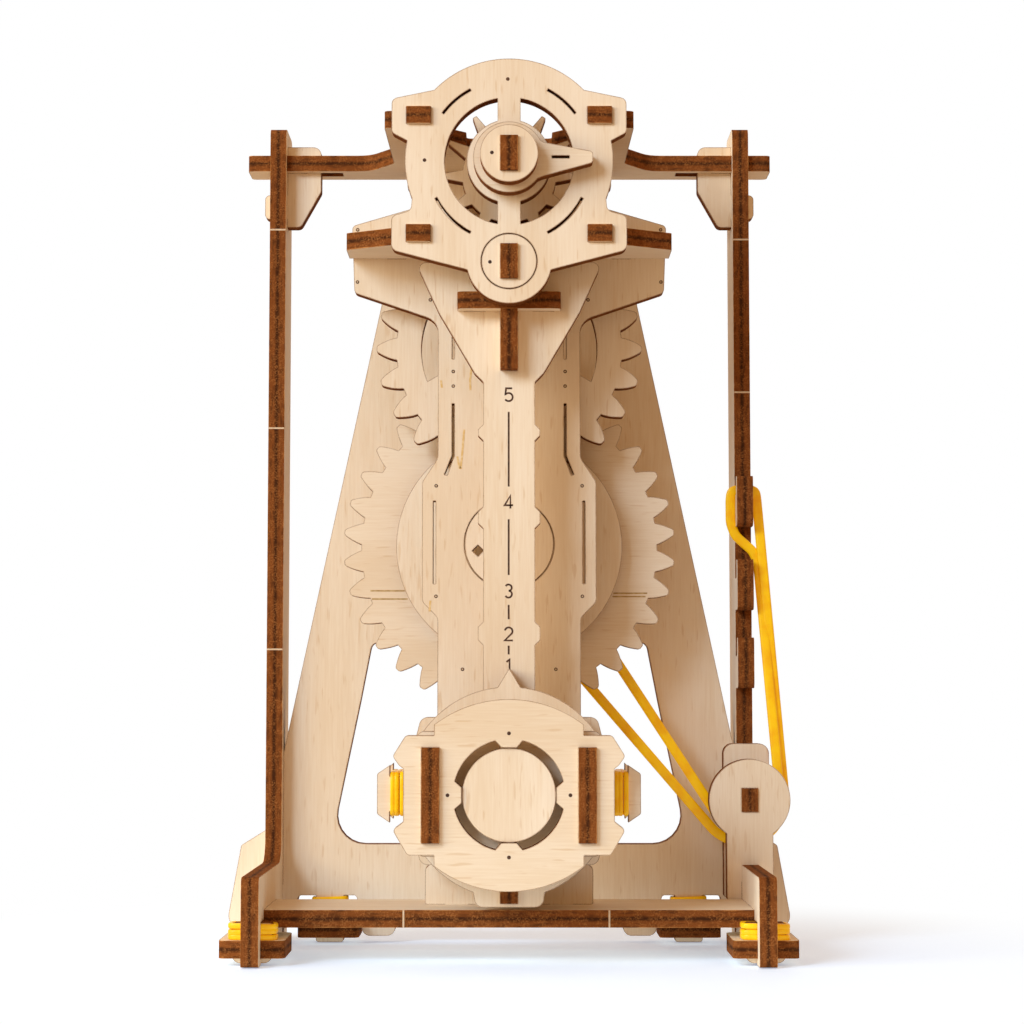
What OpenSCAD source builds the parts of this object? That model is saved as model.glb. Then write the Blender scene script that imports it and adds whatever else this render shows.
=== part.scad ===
// Desk pendulum model, cut from one sheet thickness of plywood and slotted together.
// Front of the model faces -Y, the drive band hangs on the right side panel, +Z is up.
// Depths (names ending in _y) count from the front face of the head plate.

/* [Plywood] */
// Thickness of the plywood sheet that every plate is cut from
t = 4; // [3.8:0.1:4.2]
// Radial gap of a bearing disc in its round hole
bearing_gap = 0.2; // [0.1:0.05:0.3]
// Gap along an axle between a turning plate and a fixed one
side_gap = 0.3; // [0.2:0.05:0.5]
// How far a tab stands out of the face that it passes through
tab_proud = 0.8; // [0.4:0.1:1.5]

/* [Frame] */
// Width over the outer faces of the two side panels
frame_w = 120; // [116:1:130]
// Height of the posts above the surface
post_h = 202.8; // [200:0.5:215]
// Depth of a post, front to back
post_d = 16; // [15:0.5:20]
// From the front of the head plate back to the front of the posts
post_y = 49.2; // [48.5:0.1:54]
// Reach of a side panel's foot in front of its post
foot_reach = 53.2; // [50:0.2:60]
// Height of the foot part of a side panel
foot_h = 20; // [18:0.5:22]
// Top corner height of the bottom edge of the back panel's slot for a side panel
lap_z = 14; // [12.5:0.5:16]
// Underside of the base plate above the surface
base_z = 7.85; // [7.5:0.05:8.5]
// From the front of the head plate back to the front of the base plate
base_y = 7.3; // [5:0.1:9]
// Depth of the base plate
base_d = 29; // [27:0.2:29.2]
// Half width of the column plate along its stem
column_half_w = 16.9; // [15.5:0.1:18]
// Half width of the column plate over its upper wings
wing_half_w = 37.5; // [36:0.5:44]
// Inset of the back panel behind the front of the posts
back_inset = 3.8; // [3.4:0.1:5]
// Half width of the back panel at its flared feet
flare_half_w = 70.5; // [68:0.5:76]
// Half width of the crossbar
crossbar_half_w = 65.7; // [63:0.1:70]
// Depth of the crossbar
crossbar_d = 10; // [8:0.5:11]

/* [Head] */
// Height of the upper shelf's underside
upper_shelf_z = 192.2; // [190.5:0.1:193.5]
// Height of the lower shelf's underside
lower_shelf_z = 164.65; // [164.2:0.05:166]
// Outer radius of the head plate about the pointer axle
head_r = 24; // [23:0.1:26]
// Half width of the head plate over its four ears
ear_half_w = 27.1; // [26:0.1:29]
// Outer radius of the head plate's windows
window_r = 14.9; // [13:0.1:16]
// Radius of the ring inside the windows
inner_ring_r = 9.75; // [8.5:0.05:10.5]
// Outer radius of the ring that carries the pendulum
pivot_ring_r = 9.8; // [9:0.1:11]
// Width of a shelf tab
tab_w = 5.6; // [4.6:0.1:6.4]

/* [Gears] */
// Height of the drive axle
drive_z = 96.4; // [95:0.2:98]
// Height of the middle axle
mid_z = 143.7; // [143.2:0.1:144.2]
// Height of the pointer axle
escape_z = 183.5; // [183.2:0.1:183.8]
// Teeth of the drive gear
drive_teeth = 34; // [33, 34, 35]
// Teeth of the middle gear
mid_teeth = 24; // [23, 24, 25]
// Teeth of each pinion
pinion_teeth = 8; // [8, 9]
// Free play between meshing teeth
backlash = 0.5; // [0.4:0.05:0.7]
// Radius of the flange in front of the drive gear
drive_flange_r = 27.2; // [25:0.1:29]
// Teeth of the escape wheel
escape_teeth = 12; // [10:1:14]
// Radius of the escape wheel over its teeth
escape_r = 16.4; // [15.5:0.1:16.5]

/* [Bearings] */
// Radius of the small bearing discs
disc_r = 6.3; // [5.6:0.1:6.8]
// Radius of the drive axle's bearing discs
drive_disc_r = 10.5; // [9.5:0.1:11.5]
// Radius of the winding knob
knob_r = 15; // [12:0.5:18]

/* [Pendulum] */
// Height of the pendulum's axle
pivot_z = 160.2; // [159.8:0.1:160.4]
// Height of the lower end of the rod
rod_bottom = 22; // [18:0.5:30]
// Width of the rod
rod_w = 12; // [11:0.1:12.6]
// Half width of the rod's shoulders
shoulder_half_w = 21.8; // [19:0.1:22.5]
// Height of the middle of the bob at mark 1
bob_z = 38.65; // [38.4:0.05:42]
// Radius of the bob's round plates
bob_r = 24; // [22:0.1:24.5]
// Half width of the bob's front plate
bob_half_w = 25.8; // [25:0.1:27]
// Radius of the round window in the bob's front plate
bob_window_r = 12.4; // [12:0.1:13.5]
// Radius of the loose disc in that window
badge_r = 10.4; // [9.5:0.1:11]
// Depth of the bob from its front plate to its pointer plate
bob_front_gap = 11.6; // [9.5:0.1:14]

/* [Feet] */
// Width of a foot plate
foot_plate_w = 15; // [14:0.2:18]
// Depth of a front foot plate
foot_plate_d = 20; // [18:0.5:24]
// Height of a foot plate above the surface
foot_plate_z = 1.6; // [1.2:0.1:1.8]
// Width of a foot key and of a rear leg
key_w = 9; // [8:0.2:10]
// Distance of a rear leg's middle from the middle of its side panel
leg_inset = 13.7; // [13:0.1:15]

/* [Pulley and bands] */
// Height of the pulley's middle
pulley_z = 35.5; // [33:0.5:38]
// Radius of the pulley's front plate
pulley_r = 9.8; // [9:0.1:11]
// Height of the top hook on the right side panel
hook_top_z = 114.6; // [110:0.2:120]
// Height of one hook
hook_h = 12.4; // [11.8:0.1:13]
// Reach of a hook in front of its post
hook_reach = 6; // [5.6:0.1:7]
// Width of the drive band, seen from the front
band_w = 2; // [1.6:0.1:2.2]
// Thickness of a rubber band
band_t = 1.1; // [0.8:0.1:1.2]

/* [Hidden] */
$fn = 96;
ply = [0.88, 0.76, 0.58];
ply_dark = [0.80, 0.66, 0.47];
rubber = [0.95, 0.72, 0.05];
arc_step = 15;
slit_w = 0.6;
panel_out = frame_w / 2;
panel_in = panel_out - t;
panel_mid = panel_out - t / 2;
strip_h = 2 * t;

// Depths of the plates, front to back
collar_y = t + side_gap;
rod_y = collar_y + t;
rear_collar_y = rod_y + t;
anchor_y = rear_collar_y + t;
column_y = anchor_y + t + 4 * side_gap;
mid_gear_y = column_y + t + 1.4;
drive_flange_y = mid_gear_y + t + 0.5;
drive_gear_y = drive_flange_y + t;
mid_pinion_y = mid_gear_y + 2 * t;
pulley_rear_y = post_y - t;
roller_y = pulley_rear_y - side_gap / 1.5 - t;
pulley_front_y = roller_y - side_gap / 1.5 - t;
back_y = post_y + back_inset;
cap_y = back_y + t + side_gap;
crossbar_y = post_y + 1.8;
foot_front_y = post_y - foot_reach;
post_back_y = post_y + post_d;
pointer_y = -side_gap - t;
hub_y = pointer_y - t;
bob_pointer_y = rod_y - side_gap - t;
bob_front_y = bob_pointer_y - bob_front_gap - t;
bob_hook_y = bob_front_y + 1.9 * t;
bob_rear_y = rod_y + t + side_gap;
strip_front_y = bob_front_y - 1.25 * tab_proud;
depth_mid = (strip_front_y + post_back_y) / 2;

// Plates laid across X, across Y and flat, drawn in the plane that shows their outline
module plate_x(x, thick = t) {
    translate([x, -depth_mid, 0]) rotate([90, 0, 90]) linear_extrude(thick) children();
}
module plate_y(y, thick = t) {
    translate([0, y + thick - depth_mid, 0]) rotate([90, 0, 0]) linear_extrude(thick) children();
}
module plate_z(z, thick = t) {
    translate([0, -depth_mid, z]) linear_extrude(thick) children();
}

// An outline of [x, y, corner radius] points, each corner drawn as an arc
function unit(v) = v / norm(v);
function corner(a, p, b) =
    let (r = is_undef(p[2]) ? 0 : p[2], c = [p[0], p[1]])
    r == 0 ? [c] :
    let (
        u = unit([a[0], a[1]] - c),
        v = unit([b[0], b[1]] - c),
        half = acos(max(-1, min(1, u * v))) / 2,
        reach = r / tan(half),
        centre = c + unit(u + v) * r / sin(half),
        from = c + u * reach - centre,
        to = c + v * reach - centre,
        a0 = atan2(from[1], from[0]),
        turn = atan2(from[0] * to[1] - from[1] * to[0], from * to),
        n = max(2, ceil(abs(turn) / arc_step))
    )
    [for (i = [0:n]) centre + r * [cos(a0 + turn * i / n), sin(a0 + turn * i / n)]];
function rounded(p) = [
    for (i = [0:len(p) - 1]) each corner(p[(i + len(p) - 1) % len(p)], p[i], p[(i + 1) % len(p)])
];
function mirrored(p) = concat(p, [for (i = [len(p) - 1:-1:0]) [-p[i][0], p[i][1], p[i][2]]]);
function area(p, i = 0) =
    i == len(p) ? 0 : let (q = p[(i + 1) % len(p)]) (p[i][0] * q[1] - q[0] * p[i][1]) / 2 + area(p, i + 1);
function reversed(p) = [for (i = [len(p) - 1:-1:0]) p[i]];
function turned(p) = area(p) < 0 ? reversed(p) : p;
module outline(p) { polygon(rounded(turned(p))); }
module outline_sym(p) { outline(mirrored(p)); }
module outline_pair(p) {
    outline(p);
    outline([for (q = p) [-q[0], q[1], q[2]]]);
}
module both_sides() {
    children();
    mirror([1, 0]) children();
}

// Rectangles by their limits, thin slits, and the slot that a strip axle passes through
module rect(x0, x1, y0, y1) { translate([x0, y0]) square([x1 - x0, y1 - y0]); }
module rect_pair(x0, x1, y0, y1) {
    rect(x0, x1, y0, y1);
    rect(-x1, -x0, y0, y1);
}
module slit(x, z0, z1, w = slit_w) { rect(x - w / 2, x + w / 2, z0, z1); }
module arc_slit(r, a0, a1) {
    intersection() {
        difference() {
            circle(r + slit_w / 2);
            circle(r - slit_w / 2);
        }
        polygon([[0, 0], for (i = [0:4]) 2 * r * [cos(a0 + (a1 - a0) * i / 4), sin(a0 + (a1 - a0) * i / 4)]]);
    }
}
module strip_section(z) { rect(-t / 2, t / 2, z - strip_h / 2, z + strip_h / 2); }
module axle_disc(y, r, z) {
    plate_y(y) difference() {
        translate([0, z]) circle(r);
        strip_section(z);
    }
}

// Involute gear outline with its first tooth at angle 0
pressure = 28;
addendum = 0.8;
dedendum = 1.1;
function inv(a) = tan(a) * 180 / PI - a;
function polar(r, a) = [r * cos(a), r * sin(a)];
function gear_module(z0, z1, teeth) = 2 * (z1 - z0) / (teeth + pinion_teeth);
function flank(r, rb, half) = half - inv(acos(min(1, rb / r)));
function gear_points(teeth, m) =
    let (
        rp = m * teeth / 2,
        rb = rp * cos(pressure),
        ra = rp + addendum * m,
        rf = rp - dedendum * m,
        half = 90 / teeth - backlash / 4 / rp * 180 / PI + inv(pressure),
        r0 = max(rb, rf),
        steps = 5,
        radii = [for (i = [0:steps]) r0 + (ra - 0.12 * m - r0) * i / steps],
        tip = flank(ra, rb, half) * 0.72,
        foot = min(flank(r0, rb, half) + 1.5, 180 / teeth - 0.5)
    )
    [for (k = [0:teeth - 1]) let (a = 360 * k / teeth) each concat(
        [polar(rf, a - foot)],
        [for (r = radii) polar(r, a - flank(r, rb, half))],
        [polar(ra, a - tip), polar(ra, a + tip)],
        [for (i = [steps:-1:0]) polar(radii[i], a + flank(radii[i], rb, half))],
        [polar(rf, a + foot)]
    )];
module gear(teeth, m, z, phase) {
    translate([0, z]) rotate(phase) polygon(gear_points(teeth, m));
}
mid_m = gear_module(mid_z, escape_z, mid_teeth);
drive_m = gear_module(drive_z, mid_z, drive_teeth);
pinion_phase = 270 - 180 / pinion_teeth;

// Side panels: an L of post and foot, slotted for what crosses it
upper_top_z = upper_shelf_z + t;
foot_fillet = 6;
key_y = base_y - t - band_t - 0.2;
foot_plate_y = key_y - 1.6;
key_top_z = foot_plate_z + t + 4;
base_tab_w = 5.6;
base_tabs_y = [base_y + 6, base_y + base_d - 6 - base_tab_w];
bracket_tab_z = [upper_shelf_z - 11.8, upper_shelf_z - 5.7];
bracket_top_z = upper_top_z + 2.6;
bracket_low_z = upper_shelf_z - 13.9;
hook_pitch = [0, 20.6, 39.8];
module panel_profile(hooks) {
    difference() {
        union() {
            outline([
                [foot_front_y, 0, 1], [post_back_y, 0, 1], [post_back_y, post_h, 2], [post_y, post_h, 2],
                [post_y, foot_h, foot_fillet], [foot_front_y, foot_h, 1.5]
            ]);
            if (hooks) for (drop = hook_pitch) hook_profile(hook_top_z - drop);
        }
        rect(back_y, back_y + t, -1, lap_z);
        rect(crossbar_y, crossbar_y + crossbar_d, upper_shelf_z, upper_top_z);
        rect(back_y, back_y + t, bracket_tab_z[0], bracket_tab_z[1]);
        rect(foot_plate_y, foot_plate_y + foot_plate_d, foot_plate_z, foot_plate_z + t);
        rect(key_y, key_y + t, -1, key_top_z);
        rect(key_y - band_t - 0.1, key_y + t + band_t + 0.1, foot_plate_z + t, key_top_z);
        for (y = base_tabs_y) rect(y, y + base_tab_w, base_z, base_z + t);
        if (hooks) for (y = [pulley_front_y, pulley_rear_y])
            rect(y, y + t, pulley_lap_z, foot_h + foot_fillet);
    }
}
hook_nose = 2.6;
hook_slot_h = 4.4;
pulley_lap_z = foot_h - 4;
module hook_profile(top) {
    difference() {
        outline([
            [post_y + 1, top - hook_h], [post_y + 1, top], [post_y - hook_reach, top, 1],
            [post_y - hook_reach, top - hook_h, 1.5]
        ]);
        rect(post_y - hook_reach + hook_nose, post_y, top - hook_slot_h, top + 1);
    }
}
module side_panel_left() { color(ply) plate_x(-panel_out) panel_profile(false); }
module side_panel_right() { color(ply) plate_x(panel_in) panel_profile(true); }

// Back panel: a tapering A with flared feet, two legs and a bearing for each axle
back_top_z = upper_shelf_z;
back_slope = 0.2128;
back_ref = [32.7, 155.8];
back_tab_x = [8, 13.6];
leg_w = 6.8;
leg_x = panel_mid - leg_inset;
leg_gap_x = leg_x - foot_plate_w / 2 - 0.4;
leg_top_z = foot_plate_z + t + 5.8;
function back_edge(z) = back_ref[0] + (back_ref[1] - z) * back_slope;
module back_window() {
    outline([
        [back_edge(74) - 16, 74, 2], [back_edge(60) - 16.2, 59.5], [44.2, 24, 7],
        [14, 24, 3], [14, 64, 3], [21, 72.5, 2]
    ]);
    outline([[12.5, 137.5, 1.5], [19.5, 137.5, 1.5], [24.5, 119, 1.5], [14.5, 114, 1.5]]);
}
module back_panel() {
    color(ply_dark) plate_y(back_y) difference() {
        union() {
            outline_sym([
                [leg_gap_x - 8.9, 5.5, 2], [leg_gap_x - 7.8, 1.5, 2], [leg_gap_x, 1.5, 2],
                [leg_gap_x, foot_plate_z + t + 0.3], [leg_gap_x + 1.4, leg_top_z, 0.8],
                [leg_x - leg_w / 2, leg_top_z],
                [leg_x - leg_w / 2, 0, 0.6], [leg_x + leg_w / 2, 0, 0.6], [leg_x + leg_w / 2, leg_top_z],
                [panel_in - 4, leg_top_z, 1], [panel_in - 2, 3.4, 1.5], [flare_half_w - 0.6, 3.4, 3],
                [flare_half_w - 4.2, 23.7, 1], [back_edge(27.6), 27.6], [back_edge(178), 178, 2],
                [24, 180.5, 2],
                [23.7, 186.5, 1.5], [25.7, 188.5, 1], [25.7, back_top_z, 1]
            ]);
            rect_pair(back_tab_x[0], back_tab_x[1], back_top_z - 1, back_top_z + t + tab_proud);
        }
        both_sides() rect(panel_in, panel_out, lap_z, post_h);
        both_sides() back_window();
        both_sides() rect(shelf_arm_x[0], shelf_arm_x[1], lower_shelf_z, lower_shelf_z + t);
        translate([0, drive_z]) circle(drive_disc_r + bearing_gap);
        translate([0, mid_z]) circle(disc_r + bearing_gap);
        translate([0, escape_z]) circle(disc_r + bearing_gap);
    }
}

// Base plate: tabs pass through the side panels, the column stands in its slots
column_tab_x = [9.6, 15];
module base_plate() {
    color(ply) plate_z(base_z) difference() {
        union() {
            rect(-panel_in, panel_in, base_y, base_y + base_d);
            for (y = base_tabs_y) rect_pair(panel_in - 1, panel_out + tab_proud, y, y + base_tab_w);
        }
        both_sides() rect(column_tab_x[0], column_tab_x[1], column_y, column_y + t);
    }
}

// Column plate: wings above, a stem with a round bearing window, tabs into the base
module column_plate() {
    z0 = base_z + t;
    flare = 3.7;
    color(ply) plate_y(column_y) difference() {
        union() {
            outline_sym([
                [column_half_w + 2.8, z0, 0.6], [column_half_w + 2.8, 20.1, 1], [column_half_w, 23, 1],
                [column_half_w, drive_z - 17.5, 2], [column_half_w + flare, drive_z - 13.7, 2],
                [column_half_w + flare, drive_z + 14.8, 2], [column_half_w, drive_z + 20.4, 3],
                [column_half_w, 149.6, 4], [wing_half_w - 0.6, 156.4, 1.2], [wing_half_w, 172.5, 1.2],
                [22.9, 176.8]
            ]);
            rect_pair(column_tab_x[0], column_tab_x[1], base_z, z0 + 1);
        }
        translate([0, drive_z]) circle(drive_disc_r + bearing_gap);
        translate([0, mid_z]) circle(disc_r + bearing_gap);
        translate([0, pivot_z]) circle(disc_r + bearing_gap);
        both_sides() rect(shelf_arm_x[0], shelf_arm_x[1], lower_shelf_z, lower_shelf_z + t);
        both_sides() column_slits();
    }
}
module column_slits() {
    x = column_half_w - 3.6;
    slit(column_half_w + 0.8, drive_z - 9.4, drive_z + 10.2);
    slit(x, 140.5, 146.5);
    slit(x, drive_z + 20.6, drive_z + 33.4);
    outline([
        [x - slit_w / 2, drive_z + 21], [x + slit_w / 2, drive_z + 21],
        [x + 2.1, drive_z + 16.5], [x + 1.4, drive_z + 16.3]
    ]);
}

// Lower shelf: two prongs to the head plate, two arms through the column to the back panel
tab_x = 20.9;
shelf_arm_x = [24.6, 29];
shelf_prong_in = 17;
module shelf_tabs() {
    rect_pair(tab_x - tab_w / 2, tab_x + tab_w / 2, -tab_proud, t + 1);
}
module lower_shelf() {
    color(ply) plate_z(lower_shelf_z) {
        outline_pair([
            [shelf_prong_in, t], [ear_half_w, t], [wing_half_w + 0.6, 10.4, 1], [wing_half_w + 0.6, column_y],
            [shelf_prong_in, column_y]
        ]);
        rect_pair(shelf_arm_x[0], shelf_arm_x[1], column_y - 1, back_y + t + tab_proud);
        shelf_tabs();
    }
}

// Upper shelf: crossbar through both posts, prongs to the head plate, notch for the escape wheel
prong_x = 29;
bracket_in_x = panel_in - 8.5;
bracket_notch_x = panel_in - 5;
bracket_slot_x = panel_in - 13.9;
module upper_shelf() {
    color(ply) plate_z(upper_shelf_z) difference() {
        union() {
            outline_sym([
                [crossbar_half_w, crossbar_y + crossbar_d, 1.2], [crossbar_half_w, crossbar_y, 1.2],
                [prong_x + 6, crossbar_y, 6], [prong_x - 0.4, crossbar_y - 9, 3], [prong_x, t, 1.2]
            ]);
            shelf_tabs();
        }
        outline_sym([
            [shelf_prong_in, t - 1], [shelf_prong_in, rod_y - 1], [wheel_notch_w, rod_y + t + side_gap],
            [wheel_notch_w, anchor_y + t + 1, 1], [pinion_window_w, mid_gear_y - 1.2, 1],
            [pinion_window_w, mid_gear_y + t + 1.2, 1]
        ]);
        both_sides() rect(bracket_slot_x, bracket_notch_x, back_y, back_y + t);
        both_sides() rect(back_tab_x[0], back_tab_x[1], back_y, back_y + t);
    }
}
pinion_window_w = mid_m * pinion_teeth / 2 + 0.4;
wheel_notch_w = sqrt(pow(escape_r, 2) - pow(upper_shelf_z - escape_z, 2)) + 0.7;

// Corner brackets between the crossbar and the posts
module corner_bracket_shape() {
    difference() {
        union() {
            outline([
                [bracket_in_x, bracket_top_z, 2], [panel_in, bracket_top_z], [panel_in, bracket_low_z],
                [panel_in - 3.4, bracket_low_z, 1.5], [bracket_in_x, upper_shelf_z - 4.8, 1.5]
            ]);
            outline([
                [panel_in - 1, bracket_tab_z[0]], [panel_out + 2 * tab_proud, bracket_tab_z[0], 1.2],
                [panel_out + 2 * tab_proud, bracket_tab_z[1], 1.2], [panel_in - 1, bracket_tab_z[1]]
            ]);
        }
        rect(bracket_notch_x, panel_in + 1, upper_shelf_z, upper_top_z);
    }
}
module corner_bracket_left() { color(ply) plate_y(back_y) mirror([1, 0]) corner_bracket_shape(); }
module corner_bracket_right() { color(ply) plate_y(back_y) corner_bracket_shape(); }

// Head plate: windows round the pointer axle and the ring that carries the pendulum
module head_plate() {
    color(ply) plate_y(0) difference() {
        union() {
            translate([0, escape_z]) circle(head_r);
            translate([0, pivot_z]) circle(pivot_ring_r);
            outline_sym([
                [17.5, escape_z + 16.6], [ear_half_w, upper_top_z + 1.9, 1.5],
                [ear_half_w, upper_shelf_z - 2, 1.2], [23, upper_shelf_z - 4.2, 1.5], [20, escape_z + 0.5]
            ]);
            outline_sym([
                [20, escape_z], [22.4, escape_z - 9.1, 1.5], [22.6, escape_z - 11.5, 1.5],
                [ear_half_w, lower_shelf_z + t + 2.05, 1.5], [ear_half_w, lower_shelf_z - 1.85, 1.8],
                [10, pivot_z - 1.9], [4, pivot_z - 4.2]
            ]);
        }
        translate([0, escape_z]) difference() {
            circle(window_r);
            circle(inner_ring_r);
            rect(-2.65, 2.65, -window_r - 1, window_r + 1);
        }
        translate([0, escape_z]) circle(disc_r + bearing_gap);
        translate([0, pivot_z]) circle(disc_r + bearing_gap);
        both_sides() for (z = [upper_shelf_z, lower_shelf_z])
            rect(tab_x - tab_w / 2, tab_x + tab_w / 2, z, z + t);
        both_sides() translate([0, escape_z]) {
            arc_slit(18.9, 36, 62);
            arc_slit(18.9, 298, 333);
        }
    }
}

// Feet: plates pushed through the panels, locked by keys, wound with rubber bands
module front_foot_plate(side) {
    color(ply) plate_z(foot_plate_z) difference() {
        translate([side * panel_mid, foot_plate_y]) outline([
            [-foot_plate_w / 2, 0, 1.5], [foot_plate_w / 2, 0, 1.5], [foot_plate_w / 2, foot_plate_d, 2.5],
            [-foot_plate_w / 2, foot_plate_d, 2.5]
        ]);
        rect(side * panel_mid - key_w / 2, side * panel_mid + key_w / 2, key_y, key_y + t);
    }
}
rear_plate_d = 16;
rear_plate_y = back_y - 6;
module rear_foot_plate(side) {
    color(ply) plate_z(foot_plate_z) difference() {
        translate([side * leg_x, rear_plate_y]) outline([
            [-foot_plate_w / 2, 0, 1.5], [foot_plate_w / 2, 0, 1.5], [foot_plate_w / 2, rear_plate_d, 1.5],
            [-foot_plate_w / 2, rear_plate_d, 1.5]
        ]);
        rect(side * leg_x - leg_w / 2, side * leg_x + leg_w / 2, back_y, back_y + t);
    }
}
module foot_plate_front_left() { front_foot_plate(-1); }
module foot_plate_front_right() { front_foot_plate(1); }
module foot_plate_rear_left() { rear_foot_plate(-1); }
module foot_plate_rear_right() { rear_foot_plate(1); }
module foot_keys() {
    color(ply) plate_y(key_y) for (side = [-1, 1]) translate([side * panel_mid, 0]) outline([
        [-key_w / 2, 0.4, 1.8], [key_w / 2, 0.4, 1.8],
        [key_w / 2, key_top_z - 0.2, 0.6], [-key_w / 2, key_top_z - 0.2, 0.6]
    ]);
}
module band_ring(x, y, w, d, thick = band_t) {
    translate([x, y]) difference() {
        outline([
            [-w / 2 - thick, -thick, thick], [w / 2 + thick, -thick, thick],
            [w / 2 + thick, d + thick, thick], [-w / 2 - thick, d + thick, thick]
        ]);
        rect(-w / 2, w / 2, 0, d);
    }
}
module foot_bands() {
    top_z = foot_plate_z + t;
    color(rubber) for (side = [-1, 1]) {
        plate_z(top_z, key_top_z - top_z - 0.3) band_ring(side * panel_mid, key_y, key_w, t, band_t);
        plate_z(top_z, leg_top_z - top_z - 0.3) band_ring(side * leg_x, back_y, leg_w, t, band_t);
    }
}

// Pulley: two plates slotted over the foot of the right panel, a strip axle and a loose roller
pulley_hole_h = 5.6;
pulley_neck_half_w = 5.6;
pulley_neck_z = 11.4;
roller_r = 7.2;
roller_hole_r = norm([t, pulley_hole_h]) / 2 + bearing_gap;
module pulley_hole() {
    rect(panel_mid - t / 2, panel_mid + t / 2, pulley_z - pulley_hole_h / 2, pulley_z + pulley_hole_h / 2);
}
module pulley_lap() { rect(panel_in, panel_out, pulley_neck_z - 1, pulley_lap_z); }
module pulley_front_plate() {
    color(ply) plate_y(pulley_front_y) difference() {
        union() {
            translate([panel_mid, pulley_z]) circle(pulley_r);
            translate([panel_mid, 0]) outline_sym([
                [pulley_neck_half_w, pulley_z], [pulley_neck_half_w, pulley_neck_z, 0.8]
            ]);
        }
        pulley_hole();
        pulley_lap();
    }
}
module pulley_rear_plate() {
    color(ply) plate_y(pulley_rear_y) difference() {
        translate([panel_mid, 0]) outline_sym([
            [pulley_neck_half_w, pulley_z + 13.4, 2.5], [pulley_neck_half_w, pulley_neck_z, 0.8]
        ]);
        pulley_hole();
        pulley_lap();
    }
}
module pulley_axle() {
    color(ply_dark) plate_x(panel_mid - t / 2) rect(
        pulley_front_y - tab_proud / 2, pulley_rear_y + t,
        pulley_z - pulley_hole_h / 2, pulley_z + pulley_hole_h / 2
    );
}
module pulley_roller() {
    color(ply_dark) plate_y(roller_y) difference() {
        translate([panel_mid, pulley_z]) circle(roller_r);
        translate([panel_mid, pulley_z]) circle(roller_hole_r);
    }
}

// Strip axles with their round discs, front to back
escape_front_y = hub_y - tab_proud;
cap_r = 8;
pointer_hub_r = 6.6;
axle_back_y = cap_y + t + tab_proud;
module strip_axle(z, y0, y1) {
    color(ply_dark) plate_x(-t / 2) rect(y0, y1, z - strip_h / 2, z + strip_h / 2);
}
module ply_disc(y, r, z) { color(ply) axle_disc(y, r, z); }

// Pointer axle
escape_pinion_y = mid_gear_y;
pointer_r = 8.2;
pointer_reach = 19.2;
tooth_tip_w = 1;
tooth_root_w = 3;
escape_root_r = 0.68 * escape_r;
module escape_axle() { strip_axle(escape_z, escape_front_y, axle_back_y); }
module escape_front_disc() { ply_disc(0, disc_r, escape_z); }
module escape_rear_disc() { ply_disc(back_y, disc_r, escape_z); }
module escape_cap() { ply_disc(cap_y, cap_r, escape_z); }
module pointer_hub() { ply_disc(hub_y, pointer_hub_r, escape_z); }
module pointer() {
    color(ply) plate_y(pointer_y) difference() {
        translate([0, escape_z]) {
            circle(pointer_r);
            outline([
                [0, 7.6], [8, 3.4, 3], [pointer_reach, 1.3, 0.8],
                [pointer_reach, -1.3, 0.8], [8, -4.4, 3], [0, -7.6]
            ]);
        }
        strip_section(escape_z);
        translate([0, escape_z]) rect(pointer_r + 1.6, pointer_r + 5.6, -slit_w / 2, slit_w / 2);
    }
}
module escape_tooth() {
    polygon([
        [0, -tooth_root_w / 2], [escape_root_r, -tooth_root_w / 2], [escape_r, -tooth_tip_w / 2],
        [escape_r, tooth_tip_w / 2], [escape_root_r, tooth_root_w / 2], [0, tooth_root_w / 2]
    ]);
}
module escape_wheel() {
    color(ply_dark) plate_y(anchor_y) difference() {
        intersection() {
            translate([0, escape_z]) circle(escape_r);
            translate([0, escape_z]) union() {
                circle(escape_root_r);
                for (i = [0:escape_teeth - 1]) rotate(360 * i / escape_teeth) escape_tooth();
            }
        }
        strip_section(escape_z);
    }
}
module escape_pinion() {
    color(ply) plate_y(escape_pinion_y) difference() {
        gear(pinion_teeth, mid_m, escape_z, pinion_phase);
        strip_section(escape_z);
    }
}

// Middle axle
axle_front_y = column_y - tab_proud;
middle_spacer_r = 8;
middle_root_r = mid_m * (mid_teeth / 2 - dedendum);
spoke_w = 6;
module spoked_windows(z, rim, hub, spokes) {
    translate([0, z]) difference() {
        circle(rim);
        circle(hub);
        for (i = [0:spokes - 1]) rotate(90 + 360 * i / spokes) rect(0, rim + 1, -spoke_w / 2, spoke_w / 2);
    }
}
module middle_axle() { strip_axle(mid_z, axle_front_y, axle_back_y); }
module middle_front_disc() { ply_disc(column_y, disc_r, mid_z); }
module middle_rear_disc() { ply_disc(back_y, disc_r, mid_z); }
module middle_cap() { ply_disc(cap_y, cap_r, mid_z); }
module middle_spacer() { ply_disc(mid_gear_y + t, middle_spacer_r, mid_z); }
module middle_gear() {
    color(ply) plate_y(mid_gear_y) difference() {
        gear(mid_teeth, mid_m, mid_z, 90);
        spoked_windows(mid_z, middle_root_r - 6, 12, 3);
        strip_section(mid_z);
    }
}
module middle_pinion() {
    color(ply_dark) plate_y(mid_pinion_y) difference() {
        gear(pinion_teeth, drive_m, mid_z, pinion_phase);
        strip_section(mid_z);
    }
}

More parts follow.
